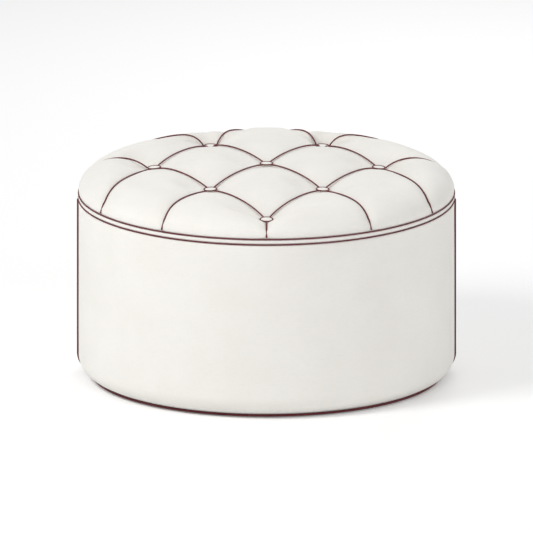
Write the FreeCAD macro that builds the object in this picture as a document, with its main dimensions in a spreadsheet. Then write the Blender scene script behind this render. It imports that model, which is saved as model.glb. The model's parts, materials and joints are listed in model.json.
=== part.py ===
"""Round tufted ottoman: a plywood drum frame, padded and covered sides, a contrast welt and a
deep-buttoned seat. Millimetres, +Z up, origin on the floor under the middle of the drum."""
import FreeCAD, Part
import math
import os
import re
import Sketcher

Vector = FreeCAD.Vector
UP = Vector(0, 0, 1)

# Driving dimensions: alias, value, what it measures
SIZES = [
    ("outer_diameter", 760, "drum across the side fabric"),
    ("side_height", 360, "underside of the drum to the top of the side cover"),
    ("bottom_edge_radius", 40, "rounded bottom edge of the drum"),
    ("shoulder_radius", 4, "fold at the top edge of the side cover"),
    ("fit_gap", 0.3, "clearance between neighbouring soft layers"),
    ("fabric_thickness", 1.6, "backed upholstery fabric"),
    ("margin_width", 30, "side fabric turned under the drum"),
    ("pad_lip", 8.3, "side padding where it passes the tack strip"),
    ("pad_wrap", 6, "side padding carried under the rounded edge"),
    ("strip_thickness", 1.5, "fibre tack strip"),
    ("strip_width", 12, "fibre tack strip, height of the band"),
    ("flange_depth", 15, "welt flange and fabric edges below the top of the side"),
    ("frame_radius", 350, "outside of the base ring and posts"),
    ("base_thickness", 18, "plywood base ring"),
    ("base_width", 80, "base ring, inside to outside"),
    ("base_edge_radius", 12, "rounded lower edge of the base ring"),
    ("deck_thickness", 18, "plywood seat deck"),
    ("panel_thickness", 3, "bent fibreboard side panel"),
    ("panel_seam", 2, "gap between the two side panels"),
    ("post_width", 45, "frame post along the rim"),
    ("post_depth", 30, "frame post towards the middle"),
    ("post_count", 8, "frame posts round the drum"),
    ("screw_diameter", 4, "wood screw shank"),
    ("screw_length", 45, "wood screw, head included"),
    ("screw_head_diameter", 9, "wood screw head"),
    ("screw_head_height", 3, "wood screw head"),
    ("screw_clearance", 0.2, "round a screw or nail shank"),
    ("counterbore_depth", 4, "sunk seat of a screw head"),
    ("glide_height", 5, "plastic glide under the drum"),
    ("glide_diameter", 28, "plastic glide"),
    ("glide_circle", 584, "diameter of the circle of glides"),
    ("glide_count", 6, "glides under the drum"),
    ("nail_diameter", 3, "nail of a glide"),
    ("nail_length", 18, "nail of a glide above its disc"),
    ("dust_thickness", 0.8, "black dust cover under the drum"),
    ("dust_radius", 322, "black dust cover under the drum"),
    ("welt_diameter", 12, "covered welt cord round the rim"),
    ("welt_cloth", 1.2, "fabric round the welt core"),
    ("edge_cord_diameter", 2.6, "fine cord above and below the welt"),
    ("edge_cord_gap", 0.2, "that cord to the welt"),
    ("edge_cord_low_angle", 48.8, "place of the lower one round the welt, below level"),
    ("edge_cord_high_angle", 46.4, "place of the upper one round the welt, above level"),
    ("base_piping_diameter", 5, "piping round the bottom edge"),
    ("base_piping_angle", 75, "place of that piping on the rounded edge, below level"),
    ("side_piping_diameter", 4, "piping down the two side seams"),
    ("side_piping_end_angle", 69, "where it ends on the rounded edge, below level"),
    ("seat_radius", 378.5, "rim roll of the seat at its widest"),
    ("roll_radius", 38, "rim roll in section"),
    ("roll_drop", 7.2, "widest level of the roll above the welt"),
    ("crown_rise", 57, "top of the seat above the widest level of the roll"),
    ("tuft_pitch_x", 113, "half the distance between buttons of one row"),
    ("tuft_pitch_y", 200, "length of half a diamond, front to back"),
    ("button_depth", 33, "button seats below the crown line"),
    ("pit_clearance", 0.3, "round the trim of a button"),
    ("button_diameter", 22.6, "covered button without its trim"),
    ("button_height", 8, "covered button"),
    ("button_edge", 1.5, "straight edge of the button"),
    ("shank_diameter", 3.4, "shank behind the button"),
    ("shank_length", 8, "shank behind the button"),
    ("button_trim_diameter", 2, "cord round the edge of a button"),
    ("twine_diameter", 2, "tufting twine"),
    ("twine_hole", 4, "hole for a twine in the deck"),
    ("shank_hole", 6.4, "way for a shank and its twine through the cover and filling"),
    ("tuft_washer_diameter", 25, "washer that anchors a twine"),
    ("tuft_washer_thickness", 3, "washer that anchors a twine"),
    ("knot_diameter", 6, "knot under the washer"),
    ("pleat_cord_diameter", 3, "contrast cord along the pleats"),
    ("cord_joint", 0.9, "where two of its lengths meet, from each to the edge of the crown"),
    ("foam_radius", 350, "seat foam slab"),
    ("foam_edge", 14, "seat foam at its edge"),
    ("foam_middle", 34, "seat foam in the middle"),
    ("foam_hole", 12, "hole in the foam under each button"),
    ("filling_radius", 356, "fibre filling over the foam slab, under the cover"),
    ("rim_pleat_angle_front", 33.9, "where pleats meet the welt: left and right of the front"),
    ("rim_pleat_angle_side_front", 61.9, "the next pleat round, from the front"),
    ("rim_pleat_angle_side_back", 105, "the pleat behind the side, from the front"),
    ("rim_pleat_angle_back", 131, "the outer back pleat, from the front"),
    ("rim_pleat_angle_rear", 178, "the inner back pleat, from the front"),
]

doc = FreeCAD.newDocument("tufted_ottoman")
sheet = doc.addObject("Spreadsheet::Sheet", "Sizes")
for row, (alias, value, note) in enumerate(SIZES, start=1):
    sheet.set(f"A{row}", note)
    sheet.set(f"B{row}", str(value))
    sheet.setAlias(f"B{row}", alias)
doc.recompute()
ALIASES = {alias for alias, value, note in SIZES}
subparts = []
ZERO = "0 * fit_gap"


def bound(text):
    """An expression in plain aliases, as the document's own expression."""
    return re.sub(r"[a-z_]+", lambda m: f"Sizes.{m[0]}" if m[0] in ALIASES else m[0], text)


def size(text):
    """The number that an expression of aliases gives now."""
    value = sheet.evalExpression(bound(text))
    return float(getattr(value, "Value", value))


# Radii of the layers at the rim, from the outside in
OUTER = "(outer_diameter / 2)"
COVER_INNER = f"({OUTER} - fabric_thickness)"
PAD_OUTER = f"({COVER_INNER} - fit_gap)"
LIP_INNER = f"({PAD_OUTER} - pad_lip)"
STRIP_OUTER = f"({LIP_INNER} - fit_gap)"
STRIP_INNER = f"({STRIP_OUTER} - strip_thickness)"
LEG_OUTER = f"({STRIP_INNER} - fit_gap)"
LEG_INNER = f"({LEG_OUTER} - fabric_thickness)"
FLANGE_OUTER = f"({LEG_INNER} - fit_gap)"
FLANGE_INNER = f"({FLANGE_OUTER} - fabric_thickness)"
SKIRT_OUTER = f"({FLANGE_INNER} - fit_gap)"
SKIRT_INNER = f"({SKIRT_OUTER} - fabric_thickness)"
DECK_RADIUS = f"({SKIRT_INNER} - fit_gap)"
PANEL_INNER = "(frame_radius + fit_gap)"
PANEL_OUTER = f"({PANEL_INNER} + panel_thickness)"
PAD_INNER = f"({PANEL_OUTER} + fit_gap)"
EDGE_CENTRE = f"({OUTER} - bottom_edge_radius)"
MARGIN_INNER = f"({EDGE_CENTRE} - margin_width)"
WELT_CENTRE = f"({OUTER} - welt_diameter / 2)"
TRIM_CENTRE = "(button_diameter / 2 + pit_clearance + button_trim_diameter / 2)"
PIT_RADIUS = f"({TRIM_CENTRE} + button_trim_diameter / 2 + pit_clearance)"

# Levels above the floor
UNDERSIDE = "(glide_height + dust_thickness)"
BASE_BOTTOM = f"({UNDERSIDE} + fabric_thickness)"
BASE_TOP = f"({BASE_BOTTOM} + base_thickness)"
EDGE_LEVEL = f"({UNDERSIDE} + bottom_edge_radius)"
BOARD_EDGE_LEVEL = f"({BASE_BOTTOM} + base_edge_radius)"
SIDE_TOP = f"({UNDERSIDE} + side_height)"
DECK_TOP = SIDE_TOP
DECK_BOTTOM = f"({DECK_TOP} - deck_thickness)"
FLANGE_END = f"({SIDE_TOP} - flange_depth)"
WELT_LEVEL = f"({SIDE_TOP} + fit_gap + welt_diameter / 2)"
SEAT_UNDERSIDE = f"({SIDE_TOP} + welt_diameter + 2 * fit_gap)"
SEAT_EQUATOR = f"({SEAT_UNDERSIDE} + roll_drop)"

# Buttons: steps of the pitch across, and half steps of the pitch front to back
TUFTS = {
    "front": (0, -3),
    "left_front": (-1, -1),
    "right_front": (1, -1),
    "left_side": (-2, 1),
    "middle": (0, 1),
    "right_side": (2, 1),
    "left_back": (-1, 3),
    "right_back": (1, 3),
}


def tuft_spot(name):
    across, along = TUFTS[name]
    return f"{across} * tuft_pitch_x", f"{along} * tuft_pitch_y / 2"


def polar_spot(radius, angle):
    return f"{radius} * cos({angle:.6f})", f"{radius} * sin({angle:.6f})"


def ring_angles(count):
    return [360 * k / count for k in range(count)]


# Helpers that make document objects


def origin_plane(body, role):
    return next(feature for feature in body.Origin.OriginFeatures if feature.Role == role)


def new_body(label):
    body = doc.addObject("PartDesign::Body", label)
    body.Label = label
    subparts.append(body)
    return body


def new_sketch(body, name, role):
    sketch = body.newObject("Sketcher::SketchObject", f"{body.Label}_{name}")
    sketch.AttachmentSupport = [(origin_plane(body, role), "")]
    sketch.MapMode = "FlatFace"
    return sketch


def bind(sketch, name, constraint, text):
    """Adds a driving constraint and ties it to the sheet."""
    index = sketch.addConstraint(constraint)
    sketch.renameConstraint(index, name)
    sketch.setExpression(f"Constraints.{name}", bound(text))


def arc_centre(start, end, radius, turn):
    chord = end - start
    reach = math.sqrt(max(0.0, radius**2 - (chord.Length / 2) ** 2))
    left = Vector(-chord.y, chord.x, 0).normalize()
    return (start + end) / 2 + left * reach * turn


def outline(sketch, corners, arcs=None):
    """Closed outline through corners given as expressions. arcs maps the index of a corner to
    the radius of the arc that leaves it, and to +1 anticlockwise or -1 clockwise."""
    arcs = arcs or {}
    spots = [Vector(size(x), size(y), 0) for x, y in corners]
    count = len(corners)
    starts, ends = [], []
    for k in range(count):
        start, end = spots[k], spots[(k + 1) % count]
        if k in arcs:
            radius, turn = arcs[k]
            centre = arc_centre(start, end, size(radius), turn)
            first, last = (start, end) if turn > 0 else (end, start)
            angles = [math.atan2(p.y - centre.y, p.x - centre.x) for p in (first, last)]
            circle = Part.Circle(centre, UP, size(radius))
            edge = sketch.addGeometry(Part.ArcOfCircle(circle, angles[0], angles[1]))
            starts.append((edge, 1 if turn > 0 else 2))
            ends.append((edge, 2 if turn > 0 else 1))
            bind(sketch, f"radius_{k}", Sketcher.Constraint("Radius", edge, size(radius)), radius)
        else:
            edge = sketch.addGeometry(Part.LineSegment(start, end))
            starts.append((edge, 1))
            ends.append((edge, 2))
    for k in range(count):
        sketch.addConstraint(Sketcher.Constraint("Coincident", *ends[k], *starts[(k + 1) % count]))
        corner = starts[k]
        across = Sketcher.Constraint("DistanceX", -1, 1, *corner, spots[k].x)
        along = Sketcher.Constraint("DistanceY", -1, 1, *corner, spots[k].y)
        bind(sketch, f"across_{k}", across, corners[k][0])
        bind(sketch, f"along_{k}", along, corners[k][1])


def circles(sketch, spots, diameter):
    for k, (x, y) in enumerate(spots):
        centre = Vector(size(x), size(y), 0)
        edge = sketch.addGeometry(Part.Circle(centre, UP, size(diameter) / 2))
        bind(sketch, f"x_{k}", Sketcher.Constraint("DistanceX", -1, 1, edge, 3, centre.x), x)
        bind(sketch, f"y_{k}", Sketcher.Constraint("DistanceY", -1, 1, edge, 3, centre.y), y)
        bind(sketch, f"diameter_{k}", Sketcher.Constraint("Diameter", edge, size(diameter)), diameter)


def place(obj, level, angle=0.0):
    """Turns a piece about the upright axis and lifts it to a level, if one is given."""
    obj.Placement = FreeCAD.Placement(Vector(), FreeCAD.Rotation(UP, angle))
    if level:
        obj.setExpression("Placement.Base.z", bound(level))


def turned(label, corners, arcs=None, sweep="360", level=None, angle=0.0):
    """A piece turned about the upright axis, from an outline of radius and height."""
    body = new_body(label)
    sketch = new_sketch(body, "profile", "XZ_Plane")
    outline(sketch, corners, arcs)
    turn = body.newObject("PartDesign::Revolution", f"{label}_turned")
    turn.Profile = sketch
    turn.ReferenceAxis = (sketch, ["V_Axis"])
    turn.setExpression("Angle", bound(sweep))
    place(body, level, angle)
    return body


def drilled(body, name, spots, diameter, depth=None, upward=True):
    """Round holes from the body's XY plane, through all or to a depth."""
    doc.recompute()
    before = body.Shape.Volume
    sketch = new_sketch(body, name, "XY_Plane")
    circles(sketch, spots, diameter)
    pocket = body.newObject("PartDesign::Pocket", f"{body.Label}_{name}_cut")
    pocket.Profile = sketch
    pocket.Reversed = upward
    if depth:
        pocket.setExpression("Length", bound(depth))
    else:
        pocket.Type = "ThroughAll"
    doc.recompute()
    if body.Shape.Volume >= before:
        raise RuntimeError(f"{body.Label}: {name} cuts nothing")


def computed(label, shape, level=None):
    """A piece whose shape is worked out here."""
    piece = doc.addObject("Part::Feature", label)
    piece.Label = label
    piece.Shape = shape
    if level:
        piece.Placement = FreeCAD.Placement(Vector(0, 0, size(level)), FreeCAD.Rotation())
    subparts.append(piece)
    return piece


def primitive(kind, name, placement=None, **sizes):
    """A Part primitive with its sizes tied to the sheet."""
    piece = doc.addObject(kind, name)
    for prop, text in sizes.items():
        piece.setExpression(prop, bound(text))
    if placement:
        piece.Placement = placement
    return piece


def combined(kind, label, base, tool, keep=True):
    piece = doc.addObject(kind, label)
    piece.Label = label
    piece.Base = base
    piece.Tool = tool
    if keep:
        subparts.append(piece)
    return piece


# Frame

post_angles = ring_angles(int(size("post_count")))
POST_CENTRE = "(sqrt(frame_radius ^ 2 - (post_width / 2) ^ 2) - post_depth / 2)"
SCREW_HOLE = "(screw_diameter + 2 * screw_clearance)"
HEAD_HOLE = "(screw_head_diameter + 2 * screw_clearance)"
NAIL_HOLE = "(nail_diameter + 2 * screw_clearance)"
post_spots = [polar_spot(POST_CENTRE, angle) for angle in post_angles]
glide_angles = [angle + 180 / size("glide_count") for angle in ring_angles(int(size("glide_count")))]
glide_spots = [polar_spot("glide_circle / 2", angle) for angle in glide_angles]
tuft_spots = [tuft_spot(name) for name in TUFTS]


def make_base_ring():
    inner = "frame_radius - base_width"
    ring = turned(
        "base_ring",
        [
            (inner, ZERO),
            ("frame_radius - base_edge_radius", ZERO),
            ("frame_radius", "base_edge_radius"),
            ("frame_radius", "base_thickness"),
            (inner, "base_thickness"),
        ],
        {1: ("base_edge_radius", 1)},
        level=BASE_BOTTOM,
    )
    drilled(ring, "screw_holes", post_spots, SCREW_HOLE)
    drilled(ring, "screw_seats", post_spots, HEAD_HOLE, "counterbore_depth")
    drilled(ring, "nail_holes", glide_spots, NAIL_HOLE)


def make_seat_deck():
    deck = new_body("seat_deck")
    sketch = new_sketch(deck, "disc", "XY_Plane")
    circles(sketch, [(ZERO, ZERO)], f"2 * {DECK_RADIUS}")
    pad = deck.newObject("PartDesign::Pad", "seat_deck_pad")
    pad.Profile = sketch
    pad.Reversed = True
    pad.setExpression("Length", bound("deck_thickness"))
    drilled(deck, "screw_holes", post_spots, SCREW_HOLE, upward=False)
    drilled(deck, "screw_seats", post_spots, HEAD_HOLE, "counterbore_depth", upward=False)
    drilled(deck, "twine_holes", tuft_spots, "twine_hole", upward=False)
    place(deck, DECK_TOP)


def make_post(number, angle):
    """A softwood post with a pilot hole in each end."""
    post = new_body(f"frame_post_{number}")
    sketch = new_sketch(post, "section", "XY_Plane")
    near, far = f"{POST_CENTRE} - post_depth / 2", f"{POST_CENTRE} + post_depth / 2"
    outline(
        sketch,
        [
            (near, "-post_width / 2"),
            (far, "-post_width / 2"),
            (far, "post_width / 2"),
            (near, "post_width / 2"),
        ],
    )
    pad = post.newObject("PartDesign::Pad", f"{post.Label}_pad")
    pad.Profile = sketch
    pad.setExpression("Length", bound(f"{DECK_BOTTOM} - {BASE_TOP}"))
    drilled(post, "pilot_hole", [(POST_CENTRE, ZERO)], SCREW_HOLE)
    place(post, BASE_TOP, angle)


def make_side_panels():
    sweep = "180 - 360 / pi * panel_seam / (2 * frame_radius)"
    seam_angle = 180 / math.pi * size("panel_seam / (2 * frame_radius)")
    corners = [
        (PANEL_INNER, f"{BOARD_EDGE_LEVEL} + fit_gap"),
        (PANEL_OUTER, f"{BOARD_EDGE_LEVEL} + fit_gap"),
        (PANEL_OUTER, DECK_BOTTOM),
        (PANEL_INNER, DECK_BOTTOM),
    ]
    turned("side_panel_back", corners, sweep=sweep, angle=seam_angle)
    turned("side_panel_front", corners, sweep=sweep, angle=180 + seam_angle)


def screw_shape():
    """Head down, shank up, from the seat of the head."""
    shank = size("screw_diameter") / 2
    head = size("screw_head_diameter") / 2
    rise = size("screw_head_height")
    length = size("screw_length")
    taper = size("screw_diameter")
    return revolved([(0, 0), (head, 0), (shank, rise), (shank, length - taper), (0, length)])


def revolved(points):
    wire = Part.makePolygon([Vector(r, 0, z) for r, z in points + points[:1]])
    return Part.Face(wire).revolve(Vector(), UP, 360)


def spread(shape, spots, flip=False):
    """Copies of a shape at the given spots."""
    copies = []
    for x, y in spots:
        turn = FreeCAD.Rotation(Vector(1, 0, 0), 180 if flip else 0)
        copy = shape.copy()
        copy.Placement = FreeCAD.Placement(Vector(size(x), size(y), 0), turn)
        copies.append(copy)
    return Part.makeCompound(copies)


def make_screws():
    seat = "(counterbore_depth - screw_head_height)"
    computed("base_screws", spread(screw_shape(), post_spots), f"{BASE_BOTTOM} + {seat}")
    computed("deck_screws", spread(screw_shape(), post_spots, flip=True), f"{DECK_TOP} - {seat}")


make_base_ring()
make_seat_deck()
for number, angle in enumerate(post_angles, start=1):
    make_post(number, angle)
make_side_panels()
make_screws()


# Underside


def make_dust_cover():
    cover = new_body("dust_cover")
    sketch = new_sketch(cover, "disc", "XY_Plane")
    circles(sketch, [(ZERO, ZERO)], "2 * dust_radius")
    pad = cover.newObject("PartDesign::Pad", "dust_cover_pad")
    pad.Profile = sketch
    pad.setExpression("Length", bound("dust_thickness"))
    drilled(cover, "nail_holes", glide_spots, NAIL_HOLE)
    place(cover, "glide_height")


def make_glide(number, angle):
    """A plastic disc moulded on a nail."""
    rim = "glide_diameter / 2"
    bevel = "glide_height / 2"
    nail = "nail_diameter / 2"
    tip = "glide_height + nail_length"
    glide = turned(
        f"glide_{number}",
        [
            (ZERO, ZERO),
            (f"{rim} - {bevel}", ZERO),
            (rim, bevel),
            (rim, "glide_height"),
            (nail, "glide_height"),
            (nail, f"{tip} - nail_diameter"),
            (ZERO, tip),
        ],
    )
    glide.Placement = FreeCAD.Placement()
    x, y = polar_spot("glide_circle / 2", angle)
    glide.setExpression("Placement.Base.x", bound(x))
    glide.setExpression("Placement.Base.y", bound(y))


make_dust_cover()
for number, angle in enumerate(glide_angles, start=1):
    make_glide(number, angle)


# Side: padding, cover, piping


def make_side_padding():
    corner = "(bottom_edge_radius - fabric_thickness - fit_gap)"
    board_corner = "(base_edge_radius + fit_gap)"
    wrap = f"({EDGE_CENTRE} + pad_wrap)"
    board_reach = f"({wrap} - (frame_radius - base_edge_radius))"
    top = f"({SIDE_TOP} - fabric_thickness - fit_gap)"
    turned(
        "side_padding",
        [
            (wrap, f"{EDGE_LEVEL} - sqrt({corner} ^ 2 - pad_wrap ^ 2)"),
            (PAD_OUTER, EDGE_LEVEL),
            (PAD_OUTER, f"{top} - shoulder_radius"),
            (f"{PAD_OUTER} - shoulder_radius", top),
            (LIP_INNER, top),
            (LIP_INNER, f"{DECK_BOTTOM} - fit_gap"),
            (PAD_INNER, f"{DECK_BOTTOM} - fit_gap"),
            (PAD_INNER, BOARD_EDGE_LEVEL),
            (PANEL_INNER, BOARD_EDGE_LEVEL),
            (wrap, f"{BOARD_EDGE_LEVEL} - sqrt({board_corner} ^ 2 - {board_reach} ^ 2)"),
        ],
        {0: (corner, 1), 8: (board_corner, -1)},
    )


def make_side_covers():
    """Two halves of fabric: turned under the drum, up the side and folded in over the strip."""
    half_seam = f"((side_piping_diameter / 2 + fit_gap) / {OUTER})"
    shoulder = f"({OUTER} - shoulder_radius)"
    shoulder_level = f"({SIDE_TOP} - shoulder_radius)"
    corners = [
        (MARGIN_INNER, UNDERSIDE),
        (EDGE_CENTRE, UNDERSIDE),
        (OUTER, EDGE_LEVEL),
        (OUTER, shoulder_level),
        (shoulder, SIDE_TOP),
        (LEG_INNER, SIDE_TOP),
        (LEG_INNER, FLANGE_END),
        (LEG_OUTER, FLANGE_END),
        (LEG_OUTER, f"{SIDE_TOP} - fabric_thickness"),
        (shoulder, f"{SIDE_TOP} - fabric_thickness"),
        (COVER_INNER, shoulder_level),
        (COVER_INNER, EDGE_LEVEL),
        (EDGE_CENTRE, BASE_BOTTOM),
        (MARGIN_INNER, BASE_BOTTOM),
    ]
    arcs = {
        1: ("bottom_edge_radius", 1),
        3: ("shoulder_radius", 1),
        9: ("shoulder_radius - fabric_thickness", -1),
        11: ("bottom_edge_radius - fabric_thickness", -1),
    }
    sweep = f"180 - 360 / pi * {half_seam}"
    seam_angle = 180 / math.pi * size(half_seam)
    turned("side_cover_back", corners, arcs, sweep=sweep, angle=seam_angle)
    turned("side_cover_front", corners, arcs, sweep=sweep, angle=180 + seam_angle)


def make_tack_strip():
    top = f"{SIDE_TOP} - fabric_thickness - fit_gap"
    turned(
        "tack_strip",
        [
            (STRIP_INNER, f"{top} - strip_width"),
            (STRIP_OUTER, f"{top} - strip_width"),
            (STRIP_OUTER, top),
            (STRIP_INNER, top),
        ],
    )


def make_side_piping(label, angle):
    """A straight run up the seam and a bend that follows the rounded bottom edge."""
    bend = "(bottom_edge_radius - fabric_thickness + side_piping_diameter / 2)"
    run_top = f"({SIDE_TOP} - shoulder_radius / 2)"
    run = primitive(
        "Part::Cylinder",
        f"{label}_run",
        Radius="side_piping_diameter / 2",
        Height=f"{run_top} - {EDGE_LEVEL}",
    )
    run.setExpression("Placement.Base.x", bound(f"{EDGE_CENTRE} + {bend}"))
    run.setExpression("Placement.Base.z", bound(EDGE_LEVEL))
    curve = primitive(
        "Part::Torus",
        f"{label}_bend",
        FreeCAD.Placement(Vector(), FreeCAD.Rotation(Vector(1, 0, 0), -90)),
        Radius1=bend,
        Radius2="side_piping_diameter / 2",
        Angle3="side_piping_end_angle",
    )
    curve.setExpression("Placement.Base.x", bound(EDGE_CENTRE))
    curve.setExpression("Placement.Base.z", bound(EDGE_LEVEL))
    piping = combined("Part::Fuse", label, run, curve)
    piping.Placement = FreeCAD.Placement(Vector(), FreeCAD.Rotation(UP, angle))


def make_base_piping():
    reach = "(bottom_edge_radius + fit_gap + base_piping_diameter / 2)"
    ring = primitive(
        "Part::Torus",
        "base_piping",
        Radius1=f"{EDGE_CENTRE} + {reach} * cos(base_piping_angle)",
        Radius2="base_piping_diameter / 2",
    )
    ring.setExpression("Placement.Base.z", bound(f"{EDGE_LEVEL} - {reach} * sin(base_piping_angle)"))
    subparts.append(ring)


def make_welt_edge_piping():
    """Fine contrast cords above and below the welt, each in the notch beside it."""
    radius = size("edge_cord_diameter / 2")
    reach = size("welt_diameter / 2 + edge_cord_gap") + radius
    rings = []
    for alias, side in (("edge_cord_low_angle", -1), ("edge_cord_high_angle", 1)):
        angle = math.radians(side * size(alias))
        level = size(WELT_LEVEL) + reach * math.sin(angle)
        rings.append(Part.makeTorus(size(WELT_CENTRE) + reach * math.cos(angle), radius, UP * level))
    computed("welt_edge_piping", Part.makeCompound(rings))


def make_welt():
    """A cord core in a fabric tube, whose flange goes down between the two covers."""
    core = primitive(
        "Part::Torus",
        "welt_core",
        Radius1=WELT_CENTRE,
        Radius2="welt_diameter / 2 - welt_cloth - fit_gap",
    )
    core.setExpression("Placement.Base.z", bound(WELT_LEVEL))
    subparts.append(core)
    outside = primitive("Part::Torus", "welt_outside", Radius1=WELT_CENTRE, Radius2="welt_diameter / 2")
    inside = primitive(
        "Part::Torus",
        "welt_inside",
        Radius1=WELT_CENTRE,
        Radius2="welt_diameter / 2 - welt_cloth",
    )
    for ring in (outside, inside):
        ring.setExpression("Placement.Base.z", bound(WELT_LEVEL))
    flange = turned(
        "welt_flange",
        [
            (FLANGE_INNER, FLANGE_END),
            (FLANGE_OUTER, FLANGE_END),
            (FLANGE_OUTER, f"{WELT_LEVEL} - fabric_thickness / 2"),
            (WELT_CENTRE, f"{WELT_LEVEL} - fabric_thickness / 2"),
            (WELT_CENTRE, f"{WELT_LEVEL} + fabric_thickness / 2"),
            (FLANGE_INNER, f"{WELT_LEVEL} + fabric_thickness / 2"),
        ],
    )
    subparts.remove(flange)
    tube = combined("Part::Fuse", "welt_tube", outside, flange, keep=False)
    combined("Part::Cut", "welt_cover", tube, inside)


make_side_padding()
make_side_covers()
make_tack_strip()
make_side_piping("side_piping_right", 0)
make_side_piping("side_piping_left", 180)
make_base_piping()
make_welt()
make_welt_edge_piping()


# Seat: a turned crown with a rim roll, and a well for each button

seat_radius = size("seat_radius")
roll_radius = size("roll_radius")
crown_rise = size("crown_rise")
equator = size(SEAT_EQUATOR)
seat_underside = size(SEAT_UNDERSIDE)
button_depth = size("button_depth")
roll_centre = seat_radius - roll_radius
crown_span = seat_radius**2 + crown_rise**2 - 2 * seat_radius * roll_radius
crown_radius = crown_span / (2 * (crown_rise - roll_radius))
crown_lean = math.asin(roll_centre / (crown_radius - roll_radius))
crown_centre = Vector(0, 0, equator + crown_rise - crown_radius)
knee_radius = crown_radius * math.sin(crown_lean)
roll_start = math.pi / 2 - crown_lean
roll_end = math.asin((seat_underside - equator) / roll_radius)


def crown_normal(spot):
    """Direction square to the crown through a place."""
    return Vector(spot - crown_centre).normalize()


def tuft(name):
    x, y = tuft_spot(name)
    return Vector(size(x), size(y), 0)


def button_seat(name):
    """Where a button rests, sunk square to the crown."""
    spot = tuft(name)
    reach = crown_radius - button_depth
    return Vector(spot.x, spot.y, crown_centre.z + math.sqrt(reach**2 - spot.Length**2))


def upright(normal):
    """The turn that leans an upright piece over to a direction."""
    return FreeCAD.Rotation(UP, normal)


def rim_angle(alias, side):
    """Direction of a rim pleat, measured from the front: side is -1 left, +1 right."""
    return math.radians(-90 + side * size(alias))


def button_well(name):
    """Cutter for a button: a straight well, square to the crown."""
    seat = button_seat(name)
    return Part.makeCylinder(size(PIT_RADIUS), 2 * button_depth, seat, crown_normal(seat))


# Straight pleats between buttons
INNER_PLEATS = [
    ("front", "left_front"),
    ("front", "right_front"),
    ("left_front", "left_side"),
    ("left_front", "middle"),
    ("middle", "right_front"),
    ("right_front", "right_side"),
    ("left_side", "left_back"),
    ("middle", "left_back"),
    ("middle", "right_back"),
    ("right_side", "right_back"),
]
# Pleats from a button out over the rim roll: angle from the front, and the side they lie on
RIM_PLEATS = [("front", ZERO, 1)]
for side, sign in (("left", -1), ("right", 1)):
    RIM_PLEATS += [
        (f"{side}_front", "rim_pleat_angle_front", sign),
        (f"{side}_side", "rim_pleat_angle_side_front", sign),
        (f"{side}_side", "rim_pleat_angle_side_back", sign),
        (f"{side}_back", "rim_pleat_angle_back", sign),
        (f"{side}_back", "rim_pleat_angle_rear", sign),
    ]


def seat_blank():
    """The turned crown, rim roll and skirt."""
    bottom = size(FLANGE_END)
    skirt = size(SKIRT_OUTER)
    knee_turn = (roll_start + roll_end) / 2

    def on_roll(turn):
        return Vector(roll_centre + roll_radius * math.cos(turn), 0, equator + roll_radius * math.sin(turn))

    def on_crown(lean):
        return crown_centre + Vector(math.sin(lean), 0, math.cos(lean)) * crown_radius

    corners = [
        on_roll(roll_end),
        Vector(skirt, 0, seat_underside),
        Vector(skirt, 0, bottom),
        Vector(0, 0, bottom),
        on_crown(0),
    ]
    edges = [Part.LineSegment(a, b).toShape() for a, b in zip(corners, corners[1:])]
    edges += [
        Part.Arc(on_crown(0), on_crown(crown_lean / 2), on_crown(crown_lean)).toShape(),
        Part.Arc(on_crown(crown_lean), on_roll(knee_turn), on_roll(roll_end)).toShape(),
    ]
    return Part.Face(Part.Wire(edges)).revolve(Vector(), UP, 360)


def tuft_cylinders(diameter):
    """Upright ways for the twines, from the deck up."""
    level = UP * size(DECK_TOP)
    return [Part.makeCylinder(diameter / 2, 2 * crown_rise, tuft(name) + level) for name in TUFTS]


def arched_room(corners, radius, top, arch):
    """A turned room: up its corners from the bottom, then in over an arch to the middle."""

    def on_arch(distance):
        return Vector(distance, 0, top - arch + math.sqrt(arch**2 - distance**2))

    spots = [Vector(reach, 0, level) for reach, level in corners] + [on_arch(radius)]
    edges = [Part.LineSegment(a, b).toShape() for a, b in zip(spots, spots[1:])]
    edges += [
        Part.Arc(on_arch(radius), on_arch(radius / 2), on_arch(0)).toShape(),
        Part.LineSegment(on_arch(0), spots[0]).toShape(),
    ]
    return Part.Face(Part.Wire(edges)).revolve(Vector(), UP, 360)


def filling_room(gap):
    """The room inside the cover, under the buttons, drawn in by a gap."""
    depth = button_depth + size("fabric_thickness") + gap
    arch = crown_radius - depth
    reach = size("filling_radius") - gap
    skirt = size(SKIRT_INNER) - gap
    ledge = seat_underside + size("fabric_thickness") - gap
    bottom = size(DECK_TOP) + gap if gap else size(FLANGE_END)
    corners = [(0, bottom), (skirt, bottom), (skirt, ledge), (reach, ledge)]
    return arched_room(corners, reach, crown_centre.z + crown_radius - depth, arch)


def slab_room(gap):
    """The room that the foam slab takes, with a gap round it."""
    radius, edge, middle = size("foam_radius"), size("foam_edge"), size("foam_middle")
    spring = middle - edge
    arch = (radius**2 + spring**2) / (2 * spring)
    deck = size(DECK_TOP)
    reach = radius + gap
    return arched_room([(0, deck), (reach, deck)], reach, deck + middle + gap, arch)


def make_seat_cover():
    """The cover and the fibre sewn into it, over the room for the rest of the filling."""
    cover = seat_blank().cut(filling_room(0))
    for cutter in [button_well(name) for name in TUFTS] + tuft_cylinders(size("shank_hole")):
        cover = cover.cut(cutter)
    computed("seat_cover", cover)


def make_seat_foam():
    spring = "(foam_middle - foam_edge)"
    foam = turned(
        "seat_foam_slab",
        [
            (ZERO, ZERO),
            ("foam_radius", ZERO),
            ("foam_radius", "foam_edge"),
            (ZERO, "foam_middle"),
        ],
        {2: (f"(foam_radius ^ 2 + {spring} ^ 2) / (2 * {spring})", 1)},
        level=DECK_TOP,
    )
    drilled(foam, "twine_holes", tuft_spots, "foam_hole")


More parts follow.
